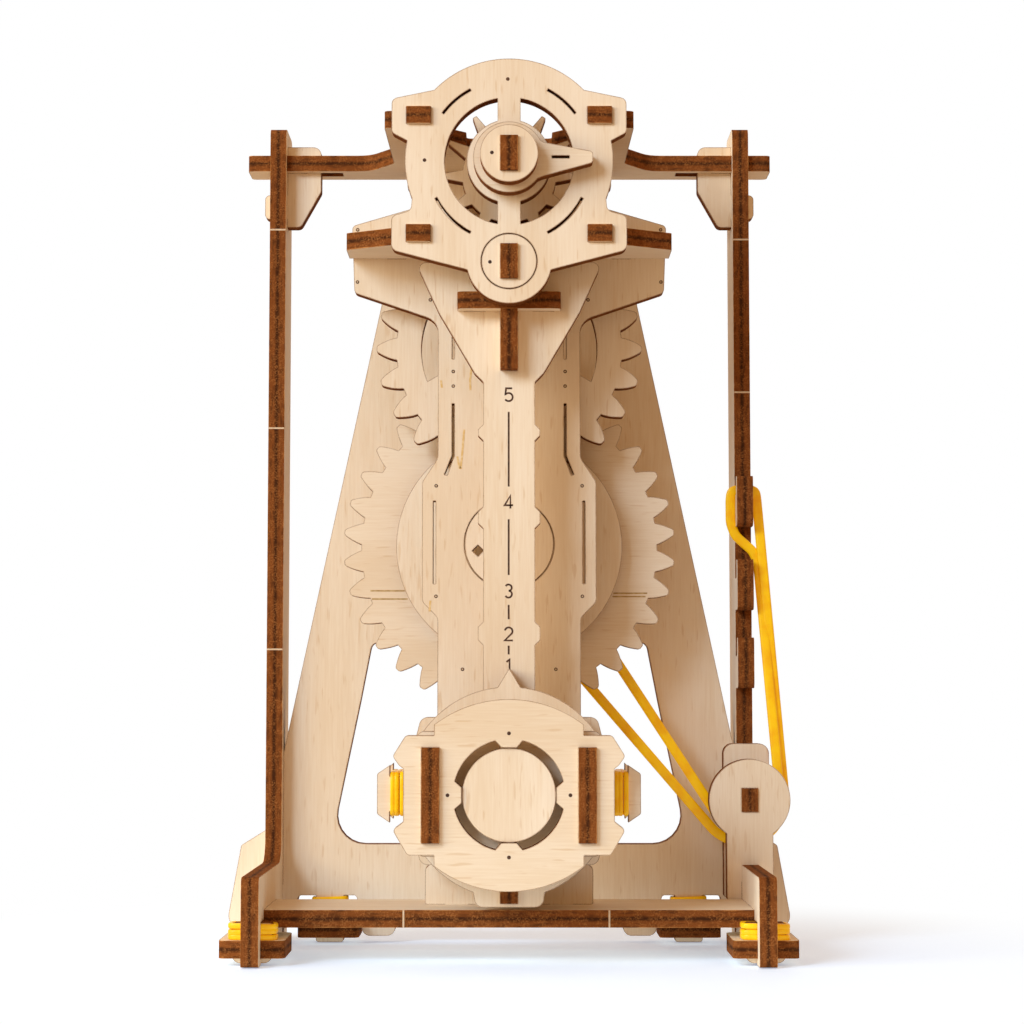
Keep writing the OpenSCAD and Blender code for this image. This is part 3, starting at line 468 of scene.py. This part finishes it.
class FinishShop:
    """Makes each material and keeps it for pieces that share it."""

    def __init__(self) -> None:
        """Builds the shared group and the blotched materials."""
        self.plywood = PlywoodGroup(PlywoodFinish())
        self.kept = {name: self._blotched(name, finish) for name, finish in BLOTCHED.items()}

    @staticmethod
    def _blotched(name: str, finish: BlotchedFinish) -> Material:
        """Makes a material of two colours in blotches.

        Args:
            name: The material's name.
            finish: Its colours, pattern and other inputs.

        Returns:
            The material.
        """
        material = bpy.data.materials.new(name)
        graph = NodeGraph.fresh(material)
        blotch = graph.noise(graph.add("ShaderNodeTexCoord").outputs["Object"], finish.blotches)
        level = graph.spread(blotch, finish.blotches.low, finish.blotches.high)
        span, rough = finish.roughness_span, finish.roughness
        if span:
            rough = graph.math("MULTIPLY_ADD", blotch, span, rough - span / 2)
        shader = graph.add("ShaderNodeBsdfPrincipled", {
            "Base Color": graph.blend(level, finish.base, finish.pale), "Roughness": rough,
            **dict(finish.inputs),
        })
        graph.add("ShaderNodeOutputMaterial", {0: shader.outputs[0]})
        return material

    def plate(self, name: str, faces: Axis, grain: Axis, start: float, tone: float,
              seed: float) -> Material:
        """Makes the plywood material of one plate.

        Args:
            name: The plate's node name.
            faces: The axis that its faces look along.
            grain: The axis that its grain runs along.
            start: Where the sheet starts along the first axis, in metres.
            tone: How much darker this plate is.
            seed: Moves the pattern, so that no two plates match.

        Returns:
            The material.
        """
        material = bpy.data.materials.new(f"plywood_{name}")
        graph = NodeGraph.fresh(material)
        place = graph.add("ShaderNodeTexCoord").outputs
        wood = graph.add("ShaderNodeGroup", {
            "Place": place["Object"], "Facing": place["Normal"], "Sheet Axis": faces.value,
            "Grain Axis": grain.value, "Sheet Start": start, "Tone": tone, "Seed": seed,
        }, node_tree=self.plywood.tree)
        bump = graph.add("ShaderNodeBump", {
            "Strength": self.plywood.finish.bump_strength, "Height": wood.outputs["Height"],
            "Distance": self.plywood.finish.bump_distance,
        })
        shader = graph.add("ShaderNodeBsdfPrincipled", {
            "Base Color": wood.outputs["Color"], "Roughness": wood.outputs["Roughness"],
            "Specular IOR Level": wood.outputs["Gloss"], "Normal": bump.outputs[0],
        })
        graph.add("ShaderNodeOutputMaterial", {0: shader.outputs[0]})
        return material


def linked(name: str, data: bpy.types.ID) -> Object:
    """Adds an object to the scene.

    Args:
        name: The object's name.
        data: Its mesh, lamp or camera.

    Returns:
        The object.
    """
    made = bpy.data.objects.new(name, data)
    bpy.context.scene.collection.objects.link(made)
    return made


def solid_of(name: str, mesh: BMesh, material: Material) -> Object:
    """Makes a scene object of an edited mesh, with its faces looking outwards.

    Args:
        name: The object's name.
        mesh: The edited mesh, which is freed.
        material: Its only material.

    Returns:
        The object.
    """
    bmesh.ops.recalc_face_normals(mesh, faces=mesh.faces)
    made = bpy.data.meshes.new(name)
    mesh.to_mesh(made)
    mesh.free()
    made.materials.append(material)
    return linked(name, made)


class GeometryTree:
    """A Geometry Nodes tree that puts a shape on points and is baked to a plain mesh."""

    def __init__(self, name: str, inputs: dict[str, str]) -> None:
        """Starts the tree with its named inputs.

        Args:
            name: The tree's name.
            inputs: Socket types by input name.
        """
        self.tree = bpy.data.node_groups.new(name, "GeometryNodeTree")
        geometry, material = "NodeSocketGeometry", "NodeSocketMaterial"
        for label, kind in {"Geometry": geometry, **inputs, "Material": material}.items():
            self.tree.interface.new_socket(name=label, in_out="INPUT", socket_type=kind)
        self.tree.interface.new_socket(name="Geometry", in_out="OUTPUT", socket_type=geometry)
        self.graph = NodeGraph(self.tree)
        self.given = self.graph.add("NodeGroupInput").outputs

    def finish(self, shape: NodeSocket, turn: Triple = (0.0, 0.0, 0.0)) -> None:
        """Puts the shape on every point, and ends in Realize Instances and Set Material.

        Args:
            shape: The geometry that each point gets.
            turn: Its rotation in radians.
        """
        place = self.graph.add("GeometryNodeInstanceOnPoints", {
            "Points": self.given["Geometry"], "Instance": shape, "Rotation": turn,
        })
        real = self.graph.add("GeometryNodeRealizeInstances", {0: place.outputs[0]})
        paint = self.graph.add("GeometryNodeSetMaterial", {
            "Geometry": real.outputs[0], "Material": self.given["Material"],
        })
        self.graph.add("NodeGroupOutput", {0: paint.outputs[0]})

    def bake(self, name: str, points: list[Triple], values: dict[str, object]) -> Object:
        """Runs the tree on points and keeps the result as a plain mesh.

        Args:
            name: The new object's name.
            points: Where the shapes go, in metres.
            values: Input values by name.

        Returns:
            The new object, with no modifier.
        """
        base = bpy.data.meshes.new(f"{name}_points")
        base.from_pydata(points, [], [])
        holder = linked(f"{name}_base", base)
        modifier = holder.modifiers.new("nodes", "NODES")
        modifier.node_group = self.tree
        for item in self.tree.interface.items_tree:
            if item.item_type == "SOCKET" and item.in_out == "INPUT" and item.name in values:
                modifier[item.identifier] = values[item.name]
        graph = bpy.context.evaluated_depsgraph_get()
        mesh = bpy.data.meshes.new_from_object(holder.evaluated_get(graph), depsgraph=graph)
        bpy.data.objects.remove(holder)
        bpy.data.meshes.remove(base)
        mesh.name = name
        return linked(name, mesh)


def dressed(obj: Object, body: str) -> Object:
    """Fixes a finished piece to its body, and reports it.

    Args:
        obj: The piece.
        body: The body that it rides on.

    Returns:
        The same piece.
    """
    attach(obj, body)
    LOG.info("%s rides on %s with %d faces", obj.name, body, len(obj.data.polygons))
    return obj


@dataclass(frozen=True)
class BandProfile:
    """A rubber band's rounded cross-section, with a groove between two ridges on each wide face."""

    width: float
    depth: float
    groove: float
    groove_reach: float = 0.22
    roundness: float = 0.6
    steps: int = 16

    def points(self) -> list[Pair]:
        """Lists the section's outline.

        Returns:
            Pairs of across and deep, in metres, counter-clockwise.
        """
        outline = []
        for step in range(self.steps):
            angle = math.tau * (step + 0.5) / self.steps
            parts = (math.cos(angle), math.sin(angle))
            across, deep = (math.copysign(abs(part) ** self.roundness, part) for part in parts)
            deep *= 1.0 - self.groove * math.exp(-((across / self.groove_reach) ** 2))
            outline.append((across * self.width / 2, deep * self.depth / 2))
        return outline


class Loop:
    """A closed route in space with its corners rounded."""

    SHARES = (0.0, 0.33, 0.67, 1.0)
    LONGEST_CUT = 0.45

    def __init__(self, corners: list[Vector], reach: float) -> None:
        """Rounds the corners.

        Args:
            corners: The route's points in order.
            reach: How far from a corner its rounding starts at most, in metres.
        """
        self.points: list[Vector] = []
        count = len(corners)
        for index, corner in enumerate(corners):
            back = corners[index - 1] - corner
            ahead = corners[(index + 1) % count] - corner
            start = corner + back.normalized() * min(reach, back.length * self.LONGEST_CUT)
            end = corner + ahead.normalized() * min(reach, ahead.length * self.LONGEST_CUT)
            for share in self.SHARES:
                self.points.append(start.lerp(corner, share).lerp(corner.lerp(end, share), share))

    def sweep(self, mesh: BMesh, profile: BandProfile, deep: Vector) -> None:
        """Sweeps a section round the route, smooth shaded.

        Args:
            mesh: The mesh.
            profile: The section.
            deep: The direction that the section's depth keeps to.
        """
        rings = []
        count = len(self.points)
        outline = profile.points()
        for index, point in enumerate(self.points):
            along = (self.points[(index + 1) % count] - self.points[index - 1]).normalized()
            across = along.cross(deep).normalized()
            depth = across.cross(along)
            rings.append([mesh.verts.new(point + across * u + depth * v) for u, v in outline])
        for index, ring in enumerate(rings):
            after = rings[(index + 1) % count]
            for side, vertex in enumerate(ring):
                beside = (side + 1) % len(ring)
                face = mesh.faces.new((vertex, ring[beside], after[beside], after[side]))
                face.smooth = True


@dataclass
class DriveBand:
    """The band that drives the model: from the drum, round the roller and over the hooks.

    The hook route runs over the top hook and past the hook below it. Its points are across from
    the roller's middle and up, in millimetres. The hook angles are where the strands to it leave
    the roller, in degrees.
    """

    drum: Pair = (0.0, 96.4 * MM)
    roller: Pair = (58.0 * MM, 35.5 * MM)
    drum_path: float = 7.0 * MM
    slack_path: float = 11.2 * MM
    outer_path: float = 9.2 * MM
    inner_path: float = 8.3 * MM
    near_path: float = 7.9 * MM
    drum_depth: float = 16.05 * MM
    strand_depths: Pair = (15.75 * MM, 17.65 * MM)
    hook_depth: float = 21.2 * MM
    hook_angles: Pair = (2.0, 4.0)
    hook_route: tuple[Pair, ...] = (
        (3.25, 109.2), (2.95, 111.0), (1.6, 111.45), (-1.6, 111.45), (-2.95, 111.0),
        (-3.25, 109.2), (-3.25, 103.2), (-2.05, 100.0), (2.25, 96.2), (3.45, 93.4),
    )
    corner_reach: float = 1.1 * MM
    arc_steps: int = 22
    arc_ease: float = 0.8
    profile: BandProfile = BandProfile(2.4 * MM, 1.2 * MM, groove=0.3)

    def _arc(self, centre: Pair, radii: Pair, depth: float, angles: Pair) -> list[Vector]:
        """Lists the points of an arc in a plane that faces forwards.

        Args:
            centre: Its centre, across and up.
            radii: Its radius at the start and at the end.
            depth: How far back it lies.
            angles: The first and the last angle, in radians.

        Returns:
            The points in order.
        """
        made = []
        for step in range(self.arc_steps + 1):
            share = step / self.arc_steps
            angle = angles[0] + (angles[1] - angles[0]) * share
            radius = radii[0] + (radii[1] - radii[0]) * share ** self.arc_ease
            across, up = radius * math.cos(angle), radius * math.sin(angle)
            made.append(Vector((centre[0] + across, depth, centre[1] + up)))
        return made

    def _touch_angle(self, gap: float) -> float:
        """Finds the angle at which a straight strand leaves the drum.

        Args:
            gap: The drum's path radius less the roller's, or less both when the strand crosses.

        Returns:
            The angle in radians.
        """
        run = Vector(self.roller) - Vector(self.drum)
        return math.atan2(run.y, run.x) - math.acos(gap / run.length)

    def route(self) -> Loop:
        """Lays the band's route.

        Returns:
            The closed route.
        """
        low = self._touch_angle(self.drum_path - self.slack_path)
        cross = self._touch_angle(-self.drum_path - self.inner_path)
        inner, outer = (math.radians(angle) for angle in self.hook_angles)
        near, far = self.strand_depths
        round_drum = (self.drum_path, self.drum_path)
        corners = self._arc(self.drum, round_drum, self.drum_depth, (low, cross - math.pi))
        corners += self._arc(self.roller, (self.inner_path, self.outer_path), far, (cross, inner))
        corners += [
            Vector((self.roller[0] + across * MM, self.hook_depth, up * MM))
            for across, up in self.hook_route
        ]
        corners += self._arc(self.roller, (self.near_path, self.slack_path), near, (outer, low))
        return Loop(corners, self.corner_reach)

    def build(self, shop: FinishShop) -> None:
        """Makes the band in place of the plain one.

        Args:
            shop: The materials.
        """
        mesh, rubber = bmesh.new(), shop.kept["yellow_rubber"]
        self.route().sweep(mesh, self.profile, Vector(Axis.DEEP.value))
        piece = dressed(solid_of("drive_band_drawn", mesh, rubber), "frame")
        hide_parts("drive_band")


@dataclass
class Winding:
    """A rubber band wound in flat turns round a bar with a rectangular section."""

    centre: Vector
    first: Vector
    second: Vector
    half_first: float
    half_second: float
    stack: float
    turns: int
    thick: float
    corner_share: float = 1.25
    thick_share: float = 0.98
    pitch_share: float = 1.04
    sway_share: float = 0.10

    def wind(self, mesh: BMesh) -> None:
        """Adds each turn as a closed ring, a little uneven like a hand-wound band.

        Args:
            mesh: The mesh.
        """
        axis = self.first.cross(self.second)
        pitch = self.stack / self.turns
        profile = BandProfile(self.thick * self.thick_share, pitch * self.pitch_share, groove=0.0)
        first = self.first * (self.half_first + self.thick / 2)
        second = self.second * (self.half_second + self.thick / 2)
        for turn in range(self.turns):
            level = self.centre + axis * ((turn + 0.5) * pitch - self.stack / 2)
            sway = axis * (self.sway_share * pitch * (1 if turn % 2 else -1))
            corners = [
                level + (first + sway) * u + second * v
                for u, v in ((1, 1), (-1, 1), (-1, -1), (1, -1))
            ]
            Loop(corners, self.corner_share * self.thick).sweep(mesh, profile, axis)


@dataclass
class HoldingBands:
    """The small bands wound round the feet's keys and legs, and round the bob's necks."""

    thick: float = 1.1 * MM
    half_bar: float = PLY_THICKNESS / 2
    key_middle: float = 58.0 * MM
    key_half_width: float = 4.5 * MM
    key_stack: float = 3.7 * MM
    key_turns: int = 3
    leg_middle: float = 44.3 * MM
    leg_half_width: float = 3.4 * MM
    leg_turns: int = 4
    neck_inset: float = 1.65 * MM
    neck_stack: float = 3.2 * MM
    neck_turns: int = 3

    def build(self, shop: FinishShop) -> None:
        """Makes the feet's bands and the bob's bands in place of the plain ones.

        Args:
            shop: The materials.
        """
        right, deep, up = (Vector(axis.value) for axis in Axis)
        low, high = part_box("foot_bands")
        key_y = sum(corner.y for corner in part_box("foot_keys")) / 2
        leg_y = high.y - self.thick - self.half_bar
        foot, bob, rubber = bmesh.new(), bmesh.new(), shop.kept["yellow_rubber"]
        for side in (-1, 1):
            key = Vector((side * self.key_middle, key_y, low.z + self.key_stack / 2))
            Winding(key, right, deep, self.key_half_width, self.half_bar, self.key_stack,
                    self.key_turns, self.thick).wind(foot)
            leg = Vector((side * self.leg_middle, leg_y, (low.z + high.z) / 2))
            Winding(leg, right, deep, self.leg_half_width, self.half_bar, high.z - low.z,
                    self.leg_turns, self.thick).wind(foot)
        piece = dressed(solid_of("foot_bands_wound", foot, rubber), "frame")
        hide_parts("foot_bands")
        low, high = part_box("bob_bands")
        middle, halves = (low + high) / 2, (high - low) / 2
        for side in (-1, 1):
            neck = Vector((side * (high.x - self.neck_inset), middle.y, middle.z))
            Winding(neck, deep, up, halves.y - self.thick, halves.z - self.thick, self.neck_stack,
                    self.neck_turns, self.thick).wind(bob)
        piece = dressed(solid_of("bob_bands_wound", bob, rubber), "bob")
        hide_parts("bob_bands")


@dataclass(frozen=True)
class Stroke:
    """A line on a face that looks forwards: a thin closed strip, measured in millimetres."""

    width: float = 0.42
    thick: float = 0.2
    least_lean: float = 0.5

    def lay(self, mesh: BMesh, points: Run, front: float) -> None:
        """Adds the line to a mesh.

        Args:
            mesh: The mesh.
            points: The line's points, across and up, in millimetres.
            front: Where the face lies, in metres.
        """
        path = [Vector(point) for point in points]
        near = front - MARK_LIFT
        far = near + self.thick * MM
        rings = []
        for index, point in enumerate(path):
            arriving = (point - path[max(index - 1, 0)]).normalized()
            leaving = (path[min(index + 1, len(path) - 1)] - point).normalized()
            along = (arriving + leaving).normalized()
            lean = max(self.least_lean, along.dot(arriving if index else leaving))
            side = Vector((-along.y, along.x)) * (self.width / 2 / lean)
            left, right = point + side, point - side
            ring = ((left, near), (right, near), (right, far), (left, far))
            rings.append([mesh.verts.new((spot.x * MM, y, spot.y * MM)) for spot, y in ring])
        for first, second in zip(rings, rings[1:]):
            for corner in range(4):
                beside = (corner + 1) % 4
                mesh.faces.new((first[corner], first[beside], second[beside], second[corner]))
        mesh.faces.new(rings[0])
        mesh.faces.new(rings[-1])

    def draw(self, name: str, node: str, runs: Iterable[Run], material: Material) -> Object:
        """Draws lines on the front face of a plate, as one object.

        Args:
            name: The object's name.
            node: The plate's node name.
            runs: Each line's points, across and up, in millimetres.
            material: The lines' material.

        Returns:
            The object.
        """
        mesh = bmesh.new()
        for run in runs:
            self.lay(mesh, run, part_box(node)[0].y)
        return solid_of(name, mesh, material)


@dataclass
class RodScale:
    """The numbers 1 to 5 and the lines between them, burnt into the rod's front."""

    heights: tuple[float, ...] = (67.4, 74.8, 84.7, 105.3, 130.3)
    lines: tuple[Pair, ...] = ((70.1, 72.1), (78.2, 81.5), (88.4, 101.3), (108.9, 126.3))
    shift: float = -0.1
    arc_steps: int = 14
    stroke: Stroke = Stroke()

    def _arc(self, x: float, z: float, radius: float, start: float, end: float) -> list[Pair]:
        """Lists points on an arc, in millimetres and degrees.

        Args:
            x: Its centre, across.
            z: Its centre, up.
            radius: Its radius.
            start: The first angle.
            end: The last angle.

        Returns:
            The points in order.
        """
        shares = [step / self.arc_steps for step in range(self.arc_steps + 1)]
        angles = [math.radians(start + (end - start) * share) for share in shares]
        return [(x + radius * math.cos(a), z + radius * math.sin(a)) for a in angles]

    def digits(self) -> list[list[list[Pair]]]:
        """Draws the numbers as strokes, in millimetres from the middle of each.

        Returns:
            The strokes of each number, from 1 to 5.
        """
        return [
            [[(-0.5, 0.95), (0.2, 1.5), (0.2, -1.5)]],
            [self._arc(0.0, 0.62, 0.88, 168, -38) + [(-0.92, -1.5), (0.95, -1.5)]],
            [self._arc(-0.05, 0.76, 0.74, 150, -85), self._arc(-0.05, -0.72, 0.8, 85, -150)],
            [[(0.4, -1.5), (0.4, 1.5), (-0.95, -0.75), (1.0, -0.75)]],
            [[(0.8, 1.5), (-0.62, 1.5), (-0.75, 0.12)] + self._arc(-0.02, -0.55, 0.95, 132, -145)],
        ]

    def build(self, shop: FinishShop) -> None:
        """Makes the scale on the rod.

        Args:
            shop: The materials.
        """
        runs = [
            [(x + self.shift, z + height) for x, z in run]
            for height, digit in zip(self.heights, self.digits()) for run in digit
        ]
        runs += [[(self.shift, low), (self.shift, high)] for low, high in self.lines]
        made = self.stroke.draw("rod_scale", "pendulum_rod", runs, shop.kept["laser_mark"])
        dressed(made, "pendulum")


@dataclass
class FaceLines:
    """Faint lines on the front of one plate, which move with its body."""

    name: str
    node: str
    body: str
    finish: str
    width: float
    runs: tuple[tuple[Pair, ...], ...]

    def build(self, shop: FinishShop) -> None:
        """Makes the lines.

        Args:
            shop: The materials.
        """
        material = shop.kept[self.finish]
        made = Stroke(self.width).draw(self.name, self.node, self.runs, material)
        dressed(made, self.body)


GEAR_SCORES = FaceLines("gear_scores", "drive_gear", "drive_train", "scored_line", 0.36, (
    ((-33.6, 85.9), (-25.3, 85.9)), ((-33.2, 83.9), (-24.6, 83.9)),
    ((25.2, 85.3), (33.4, 85.3)), ((25.0, 84.5), (33.0, 84.5)),
))
RESIN_STREAKS = FaceLines("resin_stains", "column_plate", "frame", "resin", 0.5, (
    ((-9.0, 138.2), (-9.3, 135.6), (-9.2, 133.0)),
    ((-10.7, 123.6), (-11.0, 119.4), (-11.5, 114.2)),
    ((-12.3, 117.2), (-12.0, 115.6), (-11.7, 114.3)),
    ((-16.2, 135.4), (-16.0, 133.6)), ((-18.6, 83.0), (-18.8, 80.4)),
))


@dataclass
class PierceHoles:
    """The small dots where the laser pierced the sheet, each on the front face of its plate.

    The spots are across and up, in millimetres, by body and plate.
    """

    radius: float = 0.42 * MM
    core: float = 0.20 * MM
    core_lift: float = 0.02 * MM
    depth: float = 0.2 * MM
    sides: int = 20
    cored: tuple[str, ...] = ("column_plate",)
    spots: tuple[tuple[str, str, tuple[Pair, ...]], ...] = (
        ("frame", "head_plate", ((-0.3, 202.7), (-19.5, 183.7))),
        ("frame", "column_plate", tuple(
            (side * x, z) for side in (-1, 1) for x, z in (
                (11.0, 66.8), (18.8, 154.7), (36.2, 159.0), (36.2, 171.6), (13.3, 137.5),
                (13.3, 134.0), (17.3, 110.2), (17.3, 84.0),
            )
        )),
        ("pendulum", "pendulum_front_disc", ((-4.4, 160.0),)),
        ("pointer_train", "pointer_hub", ((-3.9, 183.6),)),
        ("bob", "bob_front_plate", ((-13.6, 38.65), (13.6, 38.65), (0.0, 52.3), (0.0, 25.0))),
    )

    def _tree(self) -> GeometryTree:
        """Makes the tree that puts a short cylinder on each point.

        Returns:
            The tree.
        """
        inputs = dict.fromkeys(("Radius", "Depth"), "NodeSocketFloat")
        tree = GeometryTree("laser_dots", inputs)
        cylinder = tree.graph.add("GeometryNodeMeshCylinder", {
            "Vertices": self.sides, **{name: tree.given[name] for name in inputs},
        })
        tree.finish(cylinder.outputs["Mesh"], (math.pi / 2, 0.0, 0.0))
        return tree

    def build(self, shop: FinishShop) -> None:
        """Makes the dots and the pale cores of some, one piece for each plate.

        Args:
            shop: The materials.
        """
        tree = self._tree()
        for body, node, spots in self.spots:
            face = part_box(node)[0].y - MARK_LIFT + self.depth / 2
            kinds = [("dots", face, self.radius, "laser_mark")]
            if node in self.cored:
                kinds.append(("dot_cores", face - self.core_lift, self.core, "bridge_nick"))
            for kind, y, radius, finish in kinds:
                points = [(x * MM, y, z * MM) for x, z in spots]
                values = {"Radius": radius, "Depth": self.depth, "Material": shop.kept[finish]}
                dressed(tree.bake(f"{node}_{kind}", points, values), body)


@dataclass
class BridgeNicks:
    """The pale spots on burnt edges, where small bridges held each plate in its sheet."""

    height: float = 0.4 * MM
    depth: float = 0.2 * MM
    thick_share: float = 0.98
    post_lead: float = 3.8 * MM
    post_marks: tuple[Pair, ...] = (
        (-58.0, 177.0), (-58.0, 127.0), (-58.0, 72.0), (58.0, 174.5), (58.0, 136.0),
    )
    base_marks: Pair = (-24.1, 22.9)

    def build(self, shop: FinishShop) -> None:
        """Makes the nicks on the posts and on the base plate.

        Args:
            shop: The materials.
        """
        tree = GeometryTree("bridge_nicks", {"Size": "NodeSocketVector"})
        cube = tree.graph.add("GeometryNodeMeshCube", {"Size": tree.given["Size"]})
        tree.finish(cube.outputs["Mesh"])
        low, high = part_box("base_plate")
        inward = self.depth / 2 - MARK_LIFT
        post_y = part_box("corner_bracket_left")[0].y - self.post_lead + inward
        base_y, base_z = low.y + inward, (low.z + high.z) / 2
        across = PLY_THICKNESS * self.thick_share
        kinds = (
            ("post_nicks", [(x * MM, post_y, z * MM) for x, z in self.post_marks],
             (across, self.depth, self.height)),
            ("base_nicks", [(x * MM, base_y, base_z) for x in self.base_marks],
             (self.height, self.depth, across)),
        )
        for name, points, size in kinds:
            made = tree.bake(name, points, {"Size": size, "Material": shop.kept["bridge_nick"]})
            dressed(made, "frame")


@dataclass
class PlateDresser:
    """Gives each plate of the fixed frame its own plywood."""

    shop: FinishShop
    tone_span: float = 0.16
    tone_step: float = 2.4
    sideways_tone: float = 0.1

    @staticmethod
    def axis_of(name: str, table: dict[Axis, tuple[str, ...]], rest: Axis) -> Axis:
        """Looks up a plate's axis.

        Args:
            name: The plate's node name.
            table: The plates by axis.
            rest: The axis of a plate that isn't listed.

        Returns:
            The axis.
        """
        return next((axis for axis, names in table.items() if name in names), rest)

    @staticmethod
    def sheet_start(name: str, faces: Axis) -> float:
        """Tells where the sheet starts, from the model's middle along the plate's axis.

        Args:
            name: The plate's node name.
            faces: The axis that its faces look along.

        Returns:
            The start in metres, for a place measured without its sign.
        """
        axis = faces.value.index(1.0)
        low, high = (corner[axis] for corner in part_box(name))
        if high - low > 2 * PLY_THICKNESS:
            return high - PLY_THICKNESS
        return low if low < 0 < high else min(abs(low), abs(high))

    def dress(self, nodes: dict[str, Object]) -> None:
        """Assigns the plywood of every plate.

        Args:
            nodes: The frame's nodes by name.
        """
        for index, name in enumerate(sorted(nodes)):
            if name in RUBBER_NODES:
                continue
            faces = self.axis_of(name, FACES_ALONG, Axis.DEEP)
            grain = self.axis_of(name, GRAIN_ALONG, Axis.UP)
            tone = self.tone_span * math.sin(index * self.tone_step)
            tone += self.sideways_tone if faces is Axis.ACROSS else 0.0
            start = self.sheet_start(name, faces)
            material = self.shop.plate(name, faces, grain, start, tone, 1.0 + index)
            for slot in range(len(nodes[name].data.materials)):
                nodes[name].data.materials[slot] = material
            LOG.info("%s is plywood with its faces %s", name, faces.name.lower())


@dataclass(frozen=True)
class Lamp:
    """A soft square lamp that looks at the model's middle."""

    name: str
    place: Triple
    size: float
    watts: float
    colour: Triple

    def build(self) -> None:
        """Adds the lamp to the scene."""
        data = bpy.data.lights.new(self.name, "AREA")
        data.size = self.size
        data.energy = self.watts
        data.color = self.colour
        lamp = linked(self.name, data)
        lamp.location = self.place
        aim = Vector(MODEL_MIDDLE) - lamp.location
        lamp.rotation_euler = aim.to_track_quat("-Z", "Y").to_euler()


@dataclass
class Studio:
    """The white surface, the soft lamps, the plain surroundings and the camera."""

    camera_place: Triple = (0.000673, -0.5759, 0.061065)
    camera_tilt: float = 0.075
    focal: float = 85.0
    sensor: float = 36.0
    clip: Pair = (0.02, 20.0)
    floor_size: float = 6.0
    floor_drop: float = 0.0002
    floor_colour: Triple = (0.78, 0.90, 1.0)
    floor_roughness: float = 0.6
    floor_gloss: float = 0.2
    floor_glow: float = 0.31
    floor_glow_colour: Triple = (0.86, 0.97, 1.20)
    floor_fade: Pair = (0.07, 0.17)
    floor_spill: float = 0.50
    ambience: float = 0.63
    warm: Triple = (1.0, 0.67, 0.40)
    lamps: tuple[Lamp, ...] = (
        Lamp("key", (-1.13, -1.35, 1.00), 0.70, 29.0, (0.60, 0.78, 1.0)),
        Lamp("side", (-1.05, -0.52, 0.38), 0.4, 6.2, (1.0, 0.97, 0.84)),
    )

    def _floor(self) -> None:
        """Makes the white surface that the model stands on."""
        mesh = bmesh.new()
        bmesh.ops.create_grid(mesh, x_segments=1, y_segments=1, size=self.floor_size)
        floor = solid_of("floor", mesh, self._white_surface())
        floor.location.z = -self.floor_drop

    @staticmethod
    def _seen(graph: NodeGraph, *more: str) -> NodeSocket:
        """Marks the rays that are seen directly or in a gloss.

        Args:
            graph: The graph that asks.
            more: Other kinds of rays that count.

        Returns:
            1 for such a ray, 0 for the rest.
        """
        rays = graph.add("ShaderNodeLightPath").outputs
        seen = rays["Is Camera Ray"]
        for kind in ("Is Glossy Ray", *more):
            seen = graph.math("MAXIMUM", seen, rays[kind])
        return seen

    def _white_surface(self) -> Material:
        """Makes the floor's material: matt near the model, and evenly white further out.

        Returns:
            The material.
        """
        material = bpy.data.materials.new("white_surface")
        graph = NodeGraph.fresh(material)
        matt = graph.add("ShaderNodeBsdfPrincipled", {
            "Base Color": self.floor_colour, "Roughness": self.floor_roughness,
            "Specular IOR Level": self.floor_gloss, "Emission Color": self.floor_glow_colour,
            "Emission Strength": self.floor_glow,
        })
        seen = self._seen(graph)
        glow = graph.math("MULTIPLY_ADD", seen, 1.0 - self.floor_spill, self.floor_spill)
        shine = graph.add("ShaderNodeEmission", {
            "Color": graph.blend(seen, self.warm, WHITE), "Strength": glow,
        })
        place = graph.add("ShaderNodeTexCoord").outputs["Object"]
        far = graph.spread(graph.vector("LENGTH", place, out="Value"), *self.floor_fade)
        graph.add("ShaderNodeOutputMaterial", {0: graph.mix(far, matt, shine)})
        return material

    def _world(self) -> None:
        """Makes white surroundings for the camera and softer ones for the light."""
        world = bpy.data.worlds.new("studio")
        bpy.context.scene.world = world
        graph = NodeGraph.fresh(world)
        white = graph.add("ShaderNodeBackground")
        white.inputs["Strength"].default_value = 1.0
        white.inputs["Color"].default_value = four(WHITE)
        soft = graph.add("ShaderNodeBackground", {"Strength": self.ambience, "Color": self.warm})
        around = graph.mix(self._seen(graph, "Is Transmission Ray"), soft, white)
        graph.add("ShaderNodeOutputWorld", {0: around})

    def _camera(self) -> None:
        """Adds the camera of the photograph."""
        data = bpy.data.cameras.new("portrait")
        data.lens = self.focal
        data.sensor_width = self.sensor
        data.clip_start, data.clip_end = self.clip
        camera = linked("portrait", data)
        camera.location = self.camera_place
        camera.rotation_euler = (math.pi / 2 + self.camera_tilt, 0.0, 0.0)
        bpy.context.scene.camera = camera

    def build(self) -> None:
        """Sets up the whole stage."""
        self._floor()
        self._world()
        for lamp in self.lamps:
            lamp.build()
        self._camera()
        bpy.context.scene.view_settings.view_transform = "Standard"


def main() -> None:
    """Dresses the frame, builds every piece and sets up the studio."""
    logging.basicConfig(level=logging.INFO, format="%(name)s: %(message)s")
    shop = FinishShop()
    PlateDresser(shop).dress(frame["nodes"])
    parts = (
        DriveBand(), HoldingBands(), RodScale(), GEAR_SCORES, RESIN_STREAKS, PierceHoles(),
        BridgeNicks(),
    )
    for part in parts:
        part.build(shop)
    Studio().build()


if __name__ == "__main__":
    main()
